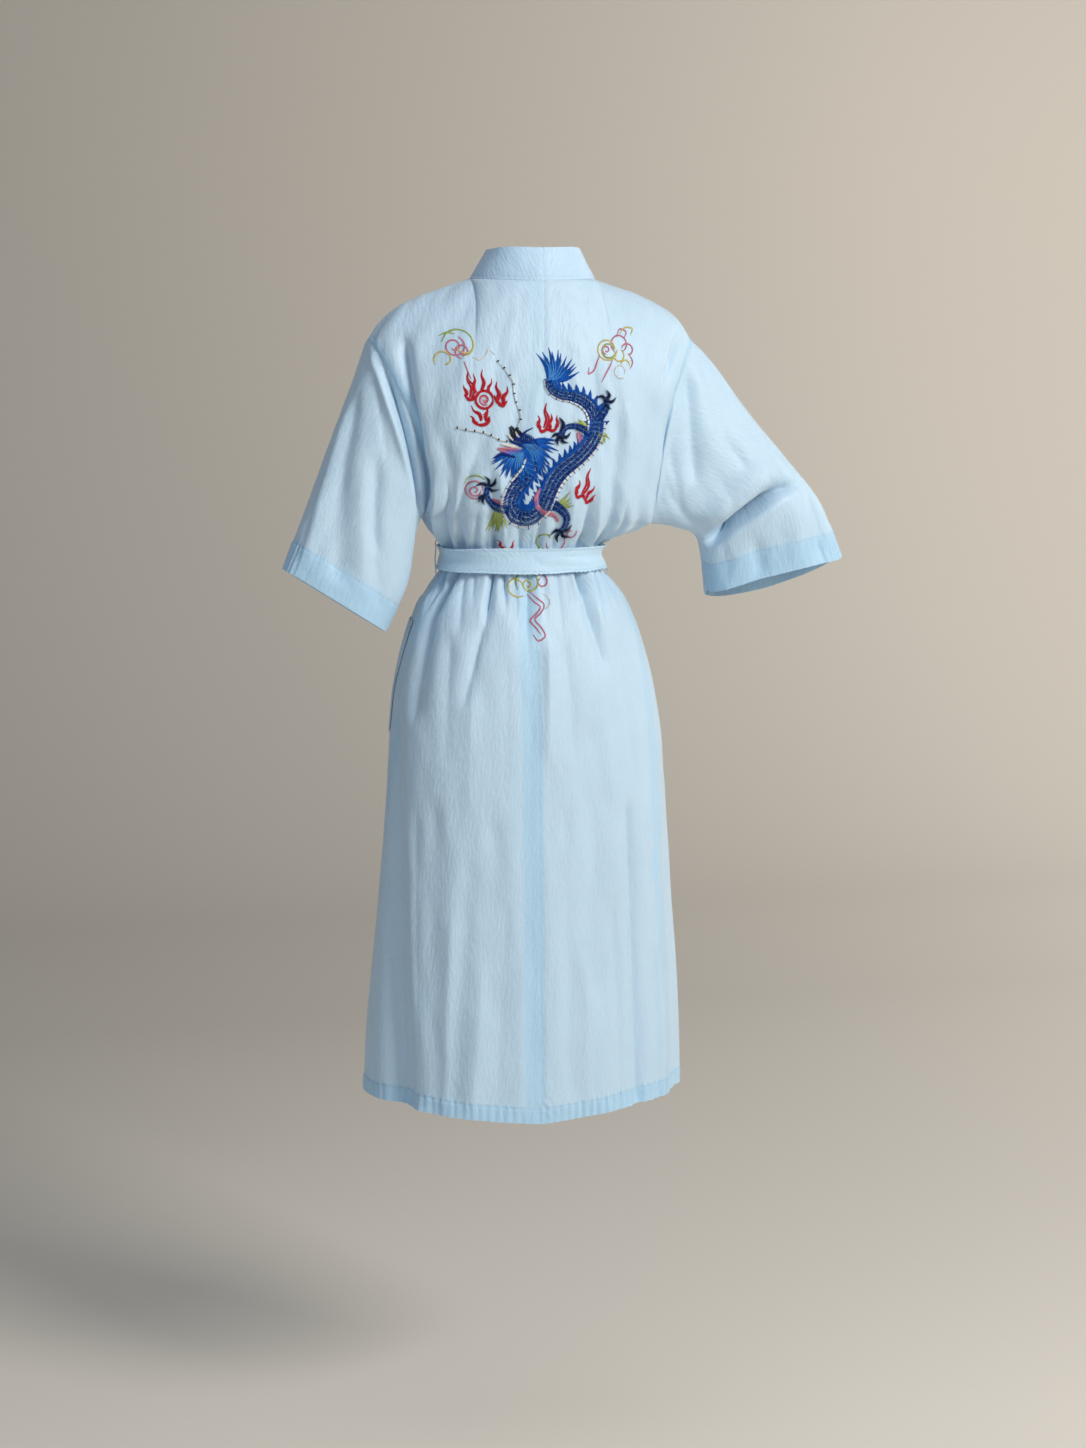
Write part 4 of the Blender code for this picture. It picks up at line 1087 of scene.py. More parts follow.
def fine_rows():
    """Level and yoke share of each fine row, closer together where the cloth is gathered or hemmed."""
    coarse = np.arange(len(YOKE_SHARES))
    shares = np.interp(np.linspace(0, coarse[-1], coarse[-1] * FINENESS + 1), coarse, YOKE_SHARES)
    lower = [np.arange(start, stop + step / 2, -step) for start, stop, step in ROW_STEPS]
    lower = np.concatenate([lower[0][1:], *lower[1:], [HEM_LEVEL]])
    return shares, lower


def edge_distances(base):
    """Distance of each point from the piece's top, bottom, first and last edges, along the cloth."""
    down = np.linalg.norm(np.diff(base, axis=0), axis=2)
    down = np.concatenate([np.zeros((1, base.shape[1])), np.cumsum(down, axis=0)])
    over = row_distance(base, np.zeros(len(base)))
    return {"top": down, "bottom": down[-1:] - down, "first": over, "last": over[:, -1:] - over}


def waves(part, across, along, side=1, seed_step=0):
    """Soft unevenness of worn cloth: many low waves of seeded sizes and directions, added up."""
    seed, shortest, longest, lean, spread, slope = WAVES[part]
    chance = np.random.default_rng(seed + seed_step)
    total = np.zeros(np.shape(across))
    for _ in range(WAVE_COUNT):
        size = math.exp(chance.uniform(math.log(shortest), math.log(longest)))
        turn = math.radians(chance.normal(lean * side, spread))
        phase = chance.uniform(0, 2 * math.pi)
        run = across * math.cos(turn) + along * math.sin(turn)
        total += size * np.sin(2 * math.pi * run / size + phase)
    return total * slope / math.sqrt(WAVE_COUNT)


def uneven_wave(along, pitch):
    """A wave between -1 and 1 whose spacing and height wander, for ribs and puckers."""
    drift = 1.9 * np.sin(along / (pitch * 5.3)) + 1.1 * np.sin(along / (pitch * 2.2) + 1.7)
    strength = 0.72 + 0.28 * np.sin(along / (pitch * 3.1) + 0.6)
    return strength * np.sin(2 * math.pi * along / pitch + drift)


def stitch_pucker(seam, off, along):
    """The cloth drawn together along a row of stitches: a narrow dip with uneven puckers across it."""
    depth, reach, pitch = PUCKERS[seam]
    puckers = PUCKER_SHARE * uneven_wave(along, pitch) * np.exp(-(off / reach) ** 2)
    return depth * (puckers - np.exp(-(off / STITCH_DIP) ** 2))


def turned_hem(distance, along, width):
    """A folded hem: thicker than the cloth, with ribs across it and a puckered row of stitches above."""
    inside = 1 - ease(width, width + HEM_EDGE, distance)
    rib = uneven_wave(along, RIB_PITCH)
    ribs = HEM_RIB * np.sign(rib) * np.abs(rib) ** RIB_ROUND * inside
    return HEM_STEP * inside + ribs + stitch_pucker("hem", distance - width + HEM_STITCH_INSET, along)


def under_belt(folds):
    """The same folds, where those that end at the belt run on under it."""
    rows = []
    for row in folds:
        row = list(row)
        for i in (1, 3):
            for edge, below, above, run_on in BELT_EDGES:
                if edge + below < row[i] < edge + above:
                    row[i] = edge + run_on
                    break
        rows.append(tuple(row))
    return tuple(rows)


def creased_depth(folds, along, across):
    """Depth of folds with a sharper crease along the bottom of each, as cloth has and the solids haven't."""
    cores = [(*row[:4], row[4] * CORE_WIDTH, row[5] * CORE_WIDTH, row[6] * CORE_DEPTH, row[7] * CORE_DEPTH)
             for row in folds if row[4] < WIDEST_CREASED]
    return fold_depth(folds, along, across) + fold_depth(cores, along, across, CORE_CREASE)


def gather_rows():
    """Small gathers above and below the belt, spread unevenly round the waist."""
    chance = np.random.default_rng(GATHER_SEED)
    rows = []
    for (edge, _, _, run_on), way in zip(BELT_EDGES, (1, -1)):
        for number in range(GATHERS):
            around = (number + chance.uniform(-0.35, 0.35)) / GATHERS * WAIST_ROUND - WAIST_ROUND / 2
            length = chance.uniform(*GATHER_LENGTHS)
            lean = chance.uniform(-0.12, 0.12) * length + around * 0.05 * length / 60
            width, depth = chance.uniform(*GATHER_WIDTHS), GATHER_DEPTH * chance.uniform(0.2, 1) ** 2
            start, end = edge + run_on, edge + run_on + way * length
            rows.append((around, start, around + lean, end, width, width * 1.5, depth, depth * 0.3))
    return tuple(rows)


def body_relief(kind, side, around, base):
    """Fine folds, seams, hem and unevenness of one body panel."""
    level = base[..., 2]
    edge = edge_distances(base)
    across = around if kind == "back" else base[..., 0]
    armhole_edge = edge["last"] if kind == "back" else edge["first"]
    lower = ease(UNDERARM_LEVEL, UNDERARM_LEVEL - 12, level)
    fine_folds = FINE_BODY_FOLDS if kind == "back" else FINE_FRONT_FOLDS
    relief = fold_depth(under_belt(fine_folds) + gather_rows(), across, level, CREASE)
    if kind == "front":
        near_side = 1 - ease(20, 60, edge["first"])
        relief += fold_depth(under_belt(FINE_BODY_FOLDS), around, level, CREASE) * near_side
    skirt = waves("skirt", across, level)
    yoke = waves("yoke", across, level, side)
    calm = ease(0, 14, edge["top"]) * ease(0, 10, np.minimum(edge["first"], edge["last"]))
    relief += (yoke + (skirt - yoke) * ease(-300, -420, level)) * calm
    relief += turned_hem(edge["bottom"], across, HEM_WIDTH)
    in_yoke = 1 - lower
    for row in ARMHOLE_STITCH_ROWS:
        relief += stitch_pucker("armhole row", armhole_edge - row, level) * in_yoke
    relief += LAP_STEP * (1 - ease(10.5, 12.5, armhole_edge)) * ease(0, 2, armhole_edge) * in_yoke
    relief += stitch_pucker("side seam", armhole_edge, level) * lower
    relief += stitch_pucker("top edge", edge["top"] - 2, across) * ease(0, 1.5, edge["top"])
    if kind == "back":
        seam = edge["first"]
        relief += stitch_pucker("centre back", seam, level)
        if side == RIGHT:
            # The allowance lies to this side, and the seam draws in more towards the hem.
            drawn = ease(-700, -1000, level) * 0.7 + 0.2
            relief += SEAM_STEP * (1 - ease(ALLOWANCE, ALLOWANCE + 2, seam)) * ease(0, 6, seam)
            puckers = uneven_wave(level + 0.9 * seam, SEAM_PUCKER_PITCH)
            relief += drawn * puckers * np.exp(-(seam / SEAM_PUCKER_REACH) ** 2) * ease(0, 4, seam)
    return relief


def body_pieces(rows):
    """The four body panels, with their folds and relief."""
    pieces = {}
    folds = under_belt(BODY_FOLDS)
    neck, shoulder = NECK_COLUMNS * FINENESS, SHOULDER_COLUMNS * FINENESS
    for side in (LEFT, RIGHT):
        back = back_panel(side, rows, neck, shoulder)
        around = row_distance(back, np.zeros(len(back)))
        relief = body_relief("back", side, around * side, back)
        depth = creased_depth(folds, around * side, back[..., 2])
        pieces["back", side] = piece_of(back, depth + relief, -side)
        front = front_panel(side, rows, shoulder)
        around = row_distance(front, around[:, -1])
        relief = body_relief("front", side, around * side, front)
        depth = creased_depth(folds, around * side, front[..., 2]) + front_fold(side, front)
        pieces["front", side] = piece_of(front, depth + relief, -side)
    return pieces


def collar_pieces(rows, pieces):
    """The two halves of the band, from their seam at the nape round the neck and down to each front's hem."""
    strips = BAND_STRIPS * BAND_FINENESS
    steps = np.linspace(0, 1, strips + 1)[:, None, None]
    neck = NECK_COLUMNS * FINENESS
    quarter = np.linspace(0, math.pi / 2, neck + 1)[:, None]
    made = {}
    for side in (LEFT, RIGHT):
        neck_rise = np.array(COLLAR_LEAN_SIDE) * (side, 1, 1)
        lean = np.array(COLLAR_LEAN_BACK) * np.cos(quarter) ** 2 + neck_rise * np.sin(quarter) ** 2
        lean /= np.linalg.norm(lean, axis=1, keepdims=True)
        back = pieces["back", side]["base"][0, :neck + 1]
        round_neck = back + lean * COLLAR_WIDTH * steps
        strip = front_panel(side, rows, SHOULDER_COLUMNS * FINENESS, strips).transpose(1, 0, 2)[:, 1:]
        stand = strip[:1] + neck_rise * COLLAR_WIDTH * steps
        lying = 1 - ease(-105, 0, strip[:1, :, 2:])
        base = np.concatenate([round_neck, stand + (strip - stand) * lying], axis=1)
        edge = edge_distances(base)
        relief = stitch_pucker("collar row", edge["top"] - COLLAR_STITCH_INSET, edge["first"] * side)
        relief *= ease(0, 2, edge["top"])
        relief += waves("collar", edge["first"] * side, edge["top"]) * ease(0, 6, edge["top"])
        relief += stitch_pucker("nape", edge["first"], edge["top"])
        tied = fold_depth(under_belt(FINE_FRONT_FOLDS) + gather_rows(), base[..., 0], base[..., 2], CREASE)
        relief += tied * (base[..., 1] < 0) * (base[..., 2] < -60)
        relief += turned_hem(edge["last"], edge["top"], HEM_WIDTH)
        made["collar", side] = piece_of(base, front_fold(side, base) + relief, side)
    return made


def sleeve_pieces(shares):
    """Both sleeves, with their folds, hems and unevenness."""
    made = {}
    for side in (LEFT, RIGHT):
        base = sleeve_surface(side, SLEEVE_RINGS * SLEEVE_FINENESS, shares)
        along = np.linspace(0, SLEEVE_LENGTH, base.shape[0])[:, None]
        down = np.array(shares) * SLEEVE_HALF_ROUND
        round_top = np.concatenate([down, -down[-2:0:-1]])[None, :]
        along, round_top = np.broadcast_arrays(along, round_top)
        edge = edge_distances(base)
        relief = creased_depth(SLEEVE_FOLDS[side], along, round_top)
        relief += fold_depth(FINE_SLEEVE_FOLDS[side], along, round_top, CREASE)
        relief += turned_hem(edge["bottom"], round_top, SLEEVE_HEM_WIDTH)
        relief += stitch_pucker("sleeve head", edge["top"], round_top)
        shut = 1 - ease(0.93, 0.99, np.abs(round_top) / SLEEVE_HALF_ROUND)
        relief += waves("sleeve", round_top, along, side, side) * ease(0, 14, edge["top"]) * shut
        made["sleeve", side] = piece_of(base, relief, side, closed=True)
    return made


def belt_piece():
    """The belt's ring round the waist, with the soft creases of a folded strip pulled tight."""
    levels = np.linspace(BELT_TOP, BELT_BOTTOM, BELT_ROWS)
    centre_back, centre_front, sides = row_frame(levels, np.ones(BELT_ROWS))
    turn = np.linspace(0, 2 * math.pi, BELT_COLUMNS, endpoint=False)[None]
    base = section(turn, centre_back[:, None], centre_front[:, None],
                   sides[LEFT, BACK][:, None], sides[RIGHT, BACK][:, None])
    base[..., 2] = levels[:, None]
    along = row_distance(base, np.zeros(len(base)))
    down = np.broadcast_to((BELT_TOP - levels)[:, None], along.shape)
    fade = np.minimum(ease(0, 40, along), 1 - ease(along.max() - 40, along.max(), along))
    relief = waves("belt", along, down) * fade
    for row in (BELT_STITCH_INSET, BELT_WIDTH - BELT_STITCH_INSET):
        relief += stitch_pucker("belt", down - row, along)
    relief += BELT_CROWN * np.maximum(np.cos(math.pi * (down / BELT_WIDTH - 0.5)), 0) ** 0.5
    return piece_of(base, relief, -1, closed=True)


def front_point(x, level):
    """Point of the smooth front of the body at a given x and level below the V of the neck."""
    level = np.asarray(level, float)
    _, centre_front, sides = row_frame(level, np.ones(level.shape))
    near = np.where((x > centre_front[..., 0])[..., None], sides[LEFT, FRONT], sides[RIGHT, FRONT])
    reach = np.clip((x - centre_front[..., 0]) / (near[..., 0] - centre_front[..., 0]), 0, 1)
    depth = 1 - np.cos(np.arcsin(reach ** (FULLNESS / 2))) ** (2 / FULLNESS)
    y = centre_front[..., 1] + (near[..., 1] - centre_front[..., 1]) * depth
    z = centre_front[..., 2] + (near[..., 2] - centre_front[..., 2]) * reach
    return np.stack([x, y, z], -1)


def tail_piece(table):
    """A hanging end of the belt, on the front of the robe, pinched into pleats where it leaves the knot."""
    lines = smooth(table, np.linspace(0, 1, TAIL_ROWS))
    share = np.linspace(-0.5, 0.5, TAIL_COLUMNS)[None, :]
    across = share * lines[:, 4:5]
    x = lines[:, :1] + across * np.cos(np.radians(lines[:, 2:3]))
    level = lines[:, 1:2] + across * np.sin(np.radians(lines[:, 2:3]))
    base = front_point(x, level)
    base[..., 2] = level
    edge = edge_distances(base)
    pinched = PLEAT_DEPTH * np.cos(share * 5 * math.pi) * (1 - ease(4, 60, edge["top"]))
    relief = waves("belt end", across, level) + pinched
    for name in ("first", "last", "bottom"):
        relief += stitch_pucker("belt end", edge[name] - BELT_STITCH_INSET, level + x)
    return piece_of(base, lines[:, 3:4] + relief, 1)


def lone(piece):
    """Folds and normals of a piece that is sewn to nothing."""
    sew([piece])
    return piece


def pocket_piece(panel, levels):
    """A patch on some of the front panel's own points, with a turned top edge."""
    coarse_levels = body_rows()[0]
    top, bottom = (int(np.argmin(np.abs(levels - coarse_levels[row]))) for row in POCKET_ROWS)
    first, last = (column * FINENESS for column in POCKET_COLUMNS)
    base = panel["now"][top:bottom + 1, first:last + 1]
    edge = edge_distances(base)
    relief = POCKET_STEP * (1 - ease(POCKET_HEM, POCKET_HEM + 2, edge["top"]))
    relief += stitch_pucker("pocket", edge["top"] - POCKET_HEM, edge["first"])
    for name in ("first", "last", "bottom"):
        relief += stitch_pucker("pocket", edge[name] - POCKET_STITCH_INSET, edge["top"] + edge["first"])
    return piece_of(base, relief, panel["outward"])


def doubled_cloth(kind, piece):
    """Where the cloth lies double, from 0 to 1: ribbed hems, bands, and the seam allowances behind."""
    base = piece["base"]
    edge = edge_distances(base)
    if kind in DOUBLED_ALL_OVER:
        return np.full(base.shape[:2], DOUBLED_ALL_OVER[kind])
    width = SLEEVE_HEM_WIDTH if kind == "sleeve" else HEM_WIDTH
    hem = 1 - ease(width - 0.5, width + 0.5, edge["bottom"])
    ribs = 0.8 + 0.35 * uneven_wave(edge["first"] if kind != "sleeve" else edge["first"] + 3, RIB_PITCH)
    double = hem * ribs
    if kind in ("back", "front"):
        armhole_edge = edge["last"] if kind == "back" else edge["first"]
        in_yoke = ease(UNDERARM_LEVEL - 4, UNDERARM_LEVEL + 4, base[..., 2])
        double = np.maximum(double, 0.9 * (1 - ease(10, 12, armhole_edge)) * in_yoke)
        at_side = 0.5 * (1 - ease(ALLOWANCE, ALLOWANCE + 2, armhole_edge)) * (1 - in_yoke)
        double = np.maximum(double, at_side)
    if kind == "back":
        in_skirt = 0.3 + 0.7 * ease(-360, -400, base[..., 2])
        wide = ALLOWANCE * (2 if piece["outward"] == -LEFT else 0.4)
        double = np.maximum(double, 0.7 * (1 - ease(wide, wide + 2, edge["first"])) * in_skirt)
    return double


def placed(name, data):
    """An object of some data, in the scene."""
    made = bpy.data.objects.new(name, data)
    bpy.context.scene.collection.objects.link(made)
    return made


def worn(piece, nodes):
    """Puts a piece on the robe: it rides on the root body and stands for its nodes."""
    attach(piece, "root")
    if nodes:
        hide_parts(*nodes)
    return piece


def grid_mesh(name, points, closed, outward, cut):
    """A mesh of four-sided faces on a grid of points, in metres, with the cloth's own cut as its UV map."""
    rows, columns = points.shape[:2]
    index = np.arange(rows * columns).reshape(rows, columns)
    places = np.arange(cut.shape[0] * cut.shape[1]).reshape(cut.shape[:2])
    if closed:
        index = np.concatenate([index, index[:, :1]], axis=1)
    corners = [np.stack([grid[:-1, :-1], grid[1:, :-1], grid[1:, 1:], grid[:-1, 1:]], -1).reshape(-1, 4)
               for grid in (index, places)]
    if outward < 0:
        corners = [quads[:, ::-1] for quads in corners]
    mesh = bpy.data.meshes.new(name)
    mesh.from_pydata((points.reshape(-1, 3) * MM).tolist(), [], corners[0].tolist())
    layer = mesh.uv_layers.new(name="cut")
    layer.data.foreach_set("uv", (cut.reshape(-1, 2)[corners[1].reshape(-1)] * MM).ravel())
    mesh.shade_smooth()
    # The rim stays sharp, so that no shading bends round the edge of the wall.
    sides = np.zeros(len(mesh.loops), int)
    mesh.loops.foreach_get("edge_index", sides)
    rim = mesh.attributes.new("sharp_edge", "BOOLEAN", "EDGE")
    rim.data.foreach_set("value", np.bincount(sides, minlength=len(mesh.edges)) == 1)
    return mesh


def cloth_sheet(name, kind, piece, lift, thickness, material, nodes):
    """The finished cloth of a piece: its outer face lifted off its middle surface, and a wall behind it."""
    points = piece["now"] + piece["normal"] * lift
    base = piece["base"]
    if piece["closed"]:
        base = np.concatenate([base, base[:, :1]], axis=1)
    edge = edge_distances(base)
    cut = np.stack([edge["first"] - edge["first"].mean(1, keepdims=True), -edge["top"]], -1)
    made = placed(name, grid_mesh(name, points, piece["closed"], piece["outward"], cut))
    double = made.data.attributes.new("doubled", "FLOAT", "POINT")
    double.data.foreach_set("value", doubled_cloth(kind, piece).ravel().astype(np.float32))
    wall = made.modifiers.new("wall", "SOLIDIFY")
    wall.thickness = thickness * MM
    wall.offset = -1
    made.data.materials.append(material)
    return worn(made, nodes)


def edge_line(piece, edge, inset, lift, stop=1.0):
    """Points and normals of a line at a distance in from an edge of a piece, as far as a share of it."""
    grid = piece["now"] + piece["normal"] * lift
    distance = edge_distances(grid)[edge]
    normal = piece["normal"]
    if edge in ("first", "last"):
        grid, normal, distance = grid.transpose(1, 0, 2), normal.transpose(1, 0, 2), distance.T
    order = slice(None) if edge in ("top", "first") else slice(None, None, -1)
    grid, normal, distance = grid[order], normal[order], distance[order]
    points, ways = [], []
    for column in range(int(stop * (distance.shape[1] - 1)) + 1):
        place = np.interp(inset, distance[:, column], np.arange(len(distance)))
        low = min(int(place), len(distance) - 2)
        share = place - low
        points.append(grid[low, column] * (1 - share) + grid[low + 1, column] * share)
        ways.append(normal[low, column])
    if piece["closed"] and edge in ("top", "bottom"):
        points.append(points[0])
        ways.append(ways[0])
    return np.array(points), np.array(ways)


def stitch_shapes(points, ways):
    """Corners of the stitches along a line: each is a small grain of thread lying on the cloth."""
    run = np.concatenate([[0], np.cumsum(np.linalg.norm(np.diff(points, axis=0), axis=1))])
    count = int(run[-1] / STITCH_PITCH)
    middle = (np.arange(count) + 0.5) * STITCH_PITCH

    def at(place, values):
        return np.stack([np.interp(place, run, values[:, i]) for i in range(3)], -1)

    before, after = at(middle - STITCH_LENGTH / 2, points), at(middle + STITCH_LENGTH / 2, points)
    centre, up = at(middle, points), at(middle, ways)
    side = np.cross(up, after - before)
    side /= np.maximum(np.linalg.norm(side, axis=1, keepdims=True), 1e-9)
    sunk = up * STITCH_SUNK
    left, right = centre + side * STITCH_WIDTH / 2, centre - side * STITCH_WIDTH / 2
    return np.stack([before - sunk, after - sunk, left, right, centre + up * STITCH_HEIGHT], 1)


def outward_faces(mesh):
    """Turns every closed shell of a mesh so that its faces point out."""
    work = bmesh.new()
    work.from_mesh(mesh)
    bmesh.ops.recalc_face_normals(work, faces=work.faces)
    work.to_mesh(mesh)
    work.free()


def joined_threads(name, shapes, faces, material):
    """Many small closed shapes of thread as one joined mesh: their corners, and the faces of each."""
    size = shapes.shape[1]
    joined = [[corner + size * number for corner in face] for number in range(len(shapes)) for face in faces]
    mesh = bpy.data.meshes.new(name)
    mesh.from_pydata((shapes.reshape(-1, 3) * MM).tolist(), [], joined)
    outward_faces(mesh)
    mesh.shade_smooth()
    mesh.materials.append(material)
    return worn(placed(name, mesh), ())


def stitching(name, piece, seams, lift):
    """The machine stitches of a piece, in rows given by edge, distance in from it and share of its length."""
    lines = [edge_line(piece, edge, inset, lift, stop) for edge, inset, stop in seams]
    shapes = np.concatenate([stitch_shapes(points, ways) for points, ways in lines])
    return joined_threads(name, shapes, STITCH_FACES, SEWING)


def belt_loop(name, panel, side):
    """A loop of two-ply thread from the side seam above the belt, out round it, and back below it."""
    seam, outward = panel["now"][:, -1], panel["normal"][:, -1]
    levels = body_rows()[0]
    clearance = LOOP_CLEARANCE if side == RIGHT else 0.0

    def on_seam(level, values):
        return np.array([np.interp(level, seam[::-1, 2], values[::-1, i]) for i in range(3)])

    ends = []
    for row in LOOP_END_ROWS:
        level = levels[row] + (levels[row + 1] - levels[row]) * LOOP_END_SHARE
        level = side_points(side, level)[2]
        ends.append(on_seam(level, seam) + on_seam(level, outward) * LOOP_LIFT)
    bow = []
    for level, stand in BELT_LOOP:
        way = on_seam(level, outward) * (1, 1, 0)
        bow.append(on_seam(level, seam) + (stand + clearance) * way / np.linalg.norm(way))
    path = np.array([ends[0], *bow, ends[1]])
    run = np.concatenate([[0], np.cumsum(np.linalg.norm(np.diff(path, axis=0), axis=1))])
    places = np.linspace(0, run[-1], LOOP_STEPS)
    path = smooth(np.column_stack([run, path]), places)
    tangent = np.gradient(path, axis=0)
    tangent /= np.linalg.norm(tangent, axis=1, keepdims=True)
    flat = np.array([0.0, 1.0, 0.0])
    other = np.cross(tangent, flat)
    thread = bpy.data.curves.new(name, "CURVE")
    thread.dimensions = "3D"
    thread.bevel_depth = LOOP_THREAD / 4 * MM
    thread.bevel_resolution = 2
    thread.use_fill_caps = True
    for ply in (0, math.pi):
        turn = 2 * math.pi * places / LOOP_TWIST + ply
        points = path + LOOP_THREAD / 4 * (np.cos(turn)[:, None] * other + np.sin(turn)[:, None] * flat)
        spline = thread.splines.new("POLY")
        spline.points.add(len(points) - 1)
        for knot, point in zip(spline.points, points):
            knot.co = (*(point * MM), 1)
    thread.materials.append(SEWING)
    return worn(placed(name, thread), (name,))


def belt_knot(name):
    """The knot: an upright wrap of the belt over a flattened lump of its turns, creased where pulled in."""
    bpy.ops.object.select_all(action="DESELECT")
    bpy.ops.mesh.primitive_uv_sphere_add(segments=96, ring_count=64, radius=1)
    made = bpy.context.object
    made.name = name
    for vertex in made.data.vertices:
        bulge = [math.copysign(abs(value) ** KNOT_SQUARE, value) for value in vertex.co]
        bulge[2] *= 1 - 0.16 * (1 - abs(bulge[2])) * abs(bulge[0])
        wrap = 1 - float(ease(KNOT_WRAP - KNOT_STEP, KNOT_WRAP + KNOT_STEP, abs(bulge[0])))
        turns = math.sin(9.5 * bulge[2] + 3.2 * bulge[0]) * (1 - wrap)
        pull = math.cos(7 * bulge[0] + 1.2 * bulge[2]) * wrap
        shrink = 1 - 0.10 * (1 - wrap) - 0.035 * (1 + turns) / 2 - 0.02 * (1 + pull) / 2
        vertex.co = [(KNOT_CENTRE[i] + KNOT_HALF[i] * bulge[i] * shrink) * MM for i in range(3)]
    made.data.shade_smooth()
    made.data.materials.append(BELT_COTTON)
    return worn(made, (name,))


def height_map(panels):
    """Depth of the back, in millimetres, at each step across and down of a flat grid."""
    trees = [BVHTree.FromPolygons([corner.co for corner in panel.data.vertices],
                                  [face.vertices[:] for face in panel.data.polygons]) for panel in panels]
    across = np.arange(MAP_ACROSS[0], MAP_ACROSS[1] + MAP_STEP, MAP_STEP)
    down = np.arange(MAP_DOWN[0], MAP_DOWN[1] + MAP_STEP, MAP_STEP)
    depth = np.full((len(down), len(across)), np.nan)
    forward = Vector((0, -1, 0))
    for i, level in enumerate(down):
        for j, x in enumerate(across):
            behind = Vector((-x * MM, 0.5, -level * MM))
            hits = [tree.ray_cast(behind, forward)[0] for tree in trees]
            depth[i, j] = max((hit.y / MM for hit in hits if hit), default=np.nan)
        met = np.isfinite(depth[i])
        depth[i] = np.interp(across, across[met], depth[i, met])
    return depth


def on_back(flat):
    """Points and outward normals of the back, under points given by distance across and down."""
    column = np.clip((flat[..., 0] - MAP_ACROSS[0]) / MAP_STEP, 0, BACK_DEPTH.shape[1] - 1.001)
    row = np.clip((flat[..., 1] - MAP_DOWN[0]) / MAP_STEP, 0, BACK_DEPTH.shape[0] - 1.001)
    j, i = column.astype(int), row.astype(int)
    u, v = column - j, row - i

    def read(grid):
        above = grid[i, j] * (1 - u) + grid[i, j + 1] * u
        below = grid[i + 1, j] * (1 - u) + grid[i + 1, j + 1] * u
        return above * (1 - v) + below * v

    slope_down, slope_across = np.gradient(BACK_DEPTH, MAP_STEP)
    normal = np.stack([read(slope_across), np.ones(u.shape), read(slope_down)], -1)
    normal /= np.linalg.norm(normal, axis=-1, keepdims=True)
    return np.stack([-flat[..., 0], read(BACK_DEPTH), -flat[..., 1]], -1), normal


def sew_threads(colour, layer, starts, ends, width=THREAD):
    """Notes threads of one colour, from starts to ends, for its embroidery."""
    starts, ends = np.reshape(starts, (-1, 2)), np.reshape(ends, (-1, 2))
    embroidery.setdefault(colour, []).append((starts, ends, layer, width))


def thread_shapes(runs):
    """Corners of closed, rounded threads that lie on the back, each in its layer."""
    shapes = []
    for starts, ends, layer, width in runs:
        places = np.array(THREAD_ENDS)[None, :, None]
        path, normal = on_back(starts[:, None] + (ends - starts)[:, None] * places)
        way = path[:, -1:] - path[:, :1]
        way /= np.maximum(np.linalg.norm(way, axis=-1, keepdims=True), 1e-6)
        over = np.cross(normal, way)
        low = path + normal * (layer * THREAD_LAYER - THREAD_SUNK)
        top = low + normal * THREAD_RISE
        left, right = low - over * width / 2, low + over * width / 2
        shapes.append(np.stack([low[:, 0], left[:, 1], top[:, 1], right[:, 1],
                                left[:, 2], top[:, 2], right[:, 2], low[:, 3]], 1))
    return np.concatenate(shapes)


def path_of(rows, step):
    """Even steps along a smooth line through rows of across, down and width, and its direction there."""
    rows = np.array(rows, float)
    run = np.concatenate([[0], np.cumsum(np.hypot(*np.diff(rows[:, :2], axis=0).T))])
    steps = max(2, int(round(run[-1] / step)))
    line = smooth(np.column_stack([run, rows]), np.linspace(0, run[-1], steps + 1))
    way = np.gradient(line[:, :2], axis=0)
    way /= np.maximum(np.linalg.norm(way, axis=1, keepdims=True), 1e-6)
    return line, way, way[:, ::-1] * (-1, 1)


def satin(colour, layer, rows, low=-0.5, high=0.5, slant=0.35, ragged=0.05):
    """Fills a band with close threads across it, in columns no wider than a satin stitch."""
    line, way, over = path_of(rows, THREAD)
    width = line[:, 2:3]
    columns = max(1, math.ceil(width.max() * (high - low) / SATIN_COLUMN))
    edges = np.linspace(low, high, columns + 1)
    for first, last in zip(edges, edges[1:]):
        loose = chance.uniform(-ragged, ragged, (2, len(line), 1))
        lean = way * slant * (last - first) * width / 2
        sew_threads(colour, layer, line[:, :2] + over * (first + loose[0]) * width - lean,
                    line[:, :2] + over * (last + loose[1]) * width + lean)


def drawn_line(colour, layer, points, width=LINE_WIDTH):
    """A narrow satin line through points of across and down, thinner at its ends."""
    rows = [(*point, width) for point in points]
    rows[0] = (*points[0], width * 0.5)
    rows[-1] = (*points[-1], width * 0.4)
    satin(colour, layer, rows)


def tapered(colour, layer, across, down, angle, length, width, bend):
    """A pointed stroke from a base: its tip is turned to one side by a bend."""
    turn = math.radians(angle)
    way, off = np.array([math.cos(turn), math.sin(turn)]), np.array([-math.sin(turn), math.cos(turn)])
    base = np.array([across, down], float)
    middle, tip = base + way * length * 0.5 + off * bend * 0.35, base + way * length - off * bend * 0.6
    satin(colour, layer, [(*base, width * 0.7), (*middle, width), (*tip, 0.7)])


def spiral(colour, layer, across, down, first_radius, last_radius, first_angle, sweep, width=LINE_WIDTH):
    """A curled line of a cloud."""
    share = np.linspace(0, 1, max(5, int(abs(sweep) / 28)))
    turn = np.radians(first_angle + sweep * share)
    radius = first_radius + (last_radius - first_radius) * share
    points = list(zip(across + radius * np.cos(turn), down + radius * np.sin(turn)))
    drawn_line(colour, layer, points, width)


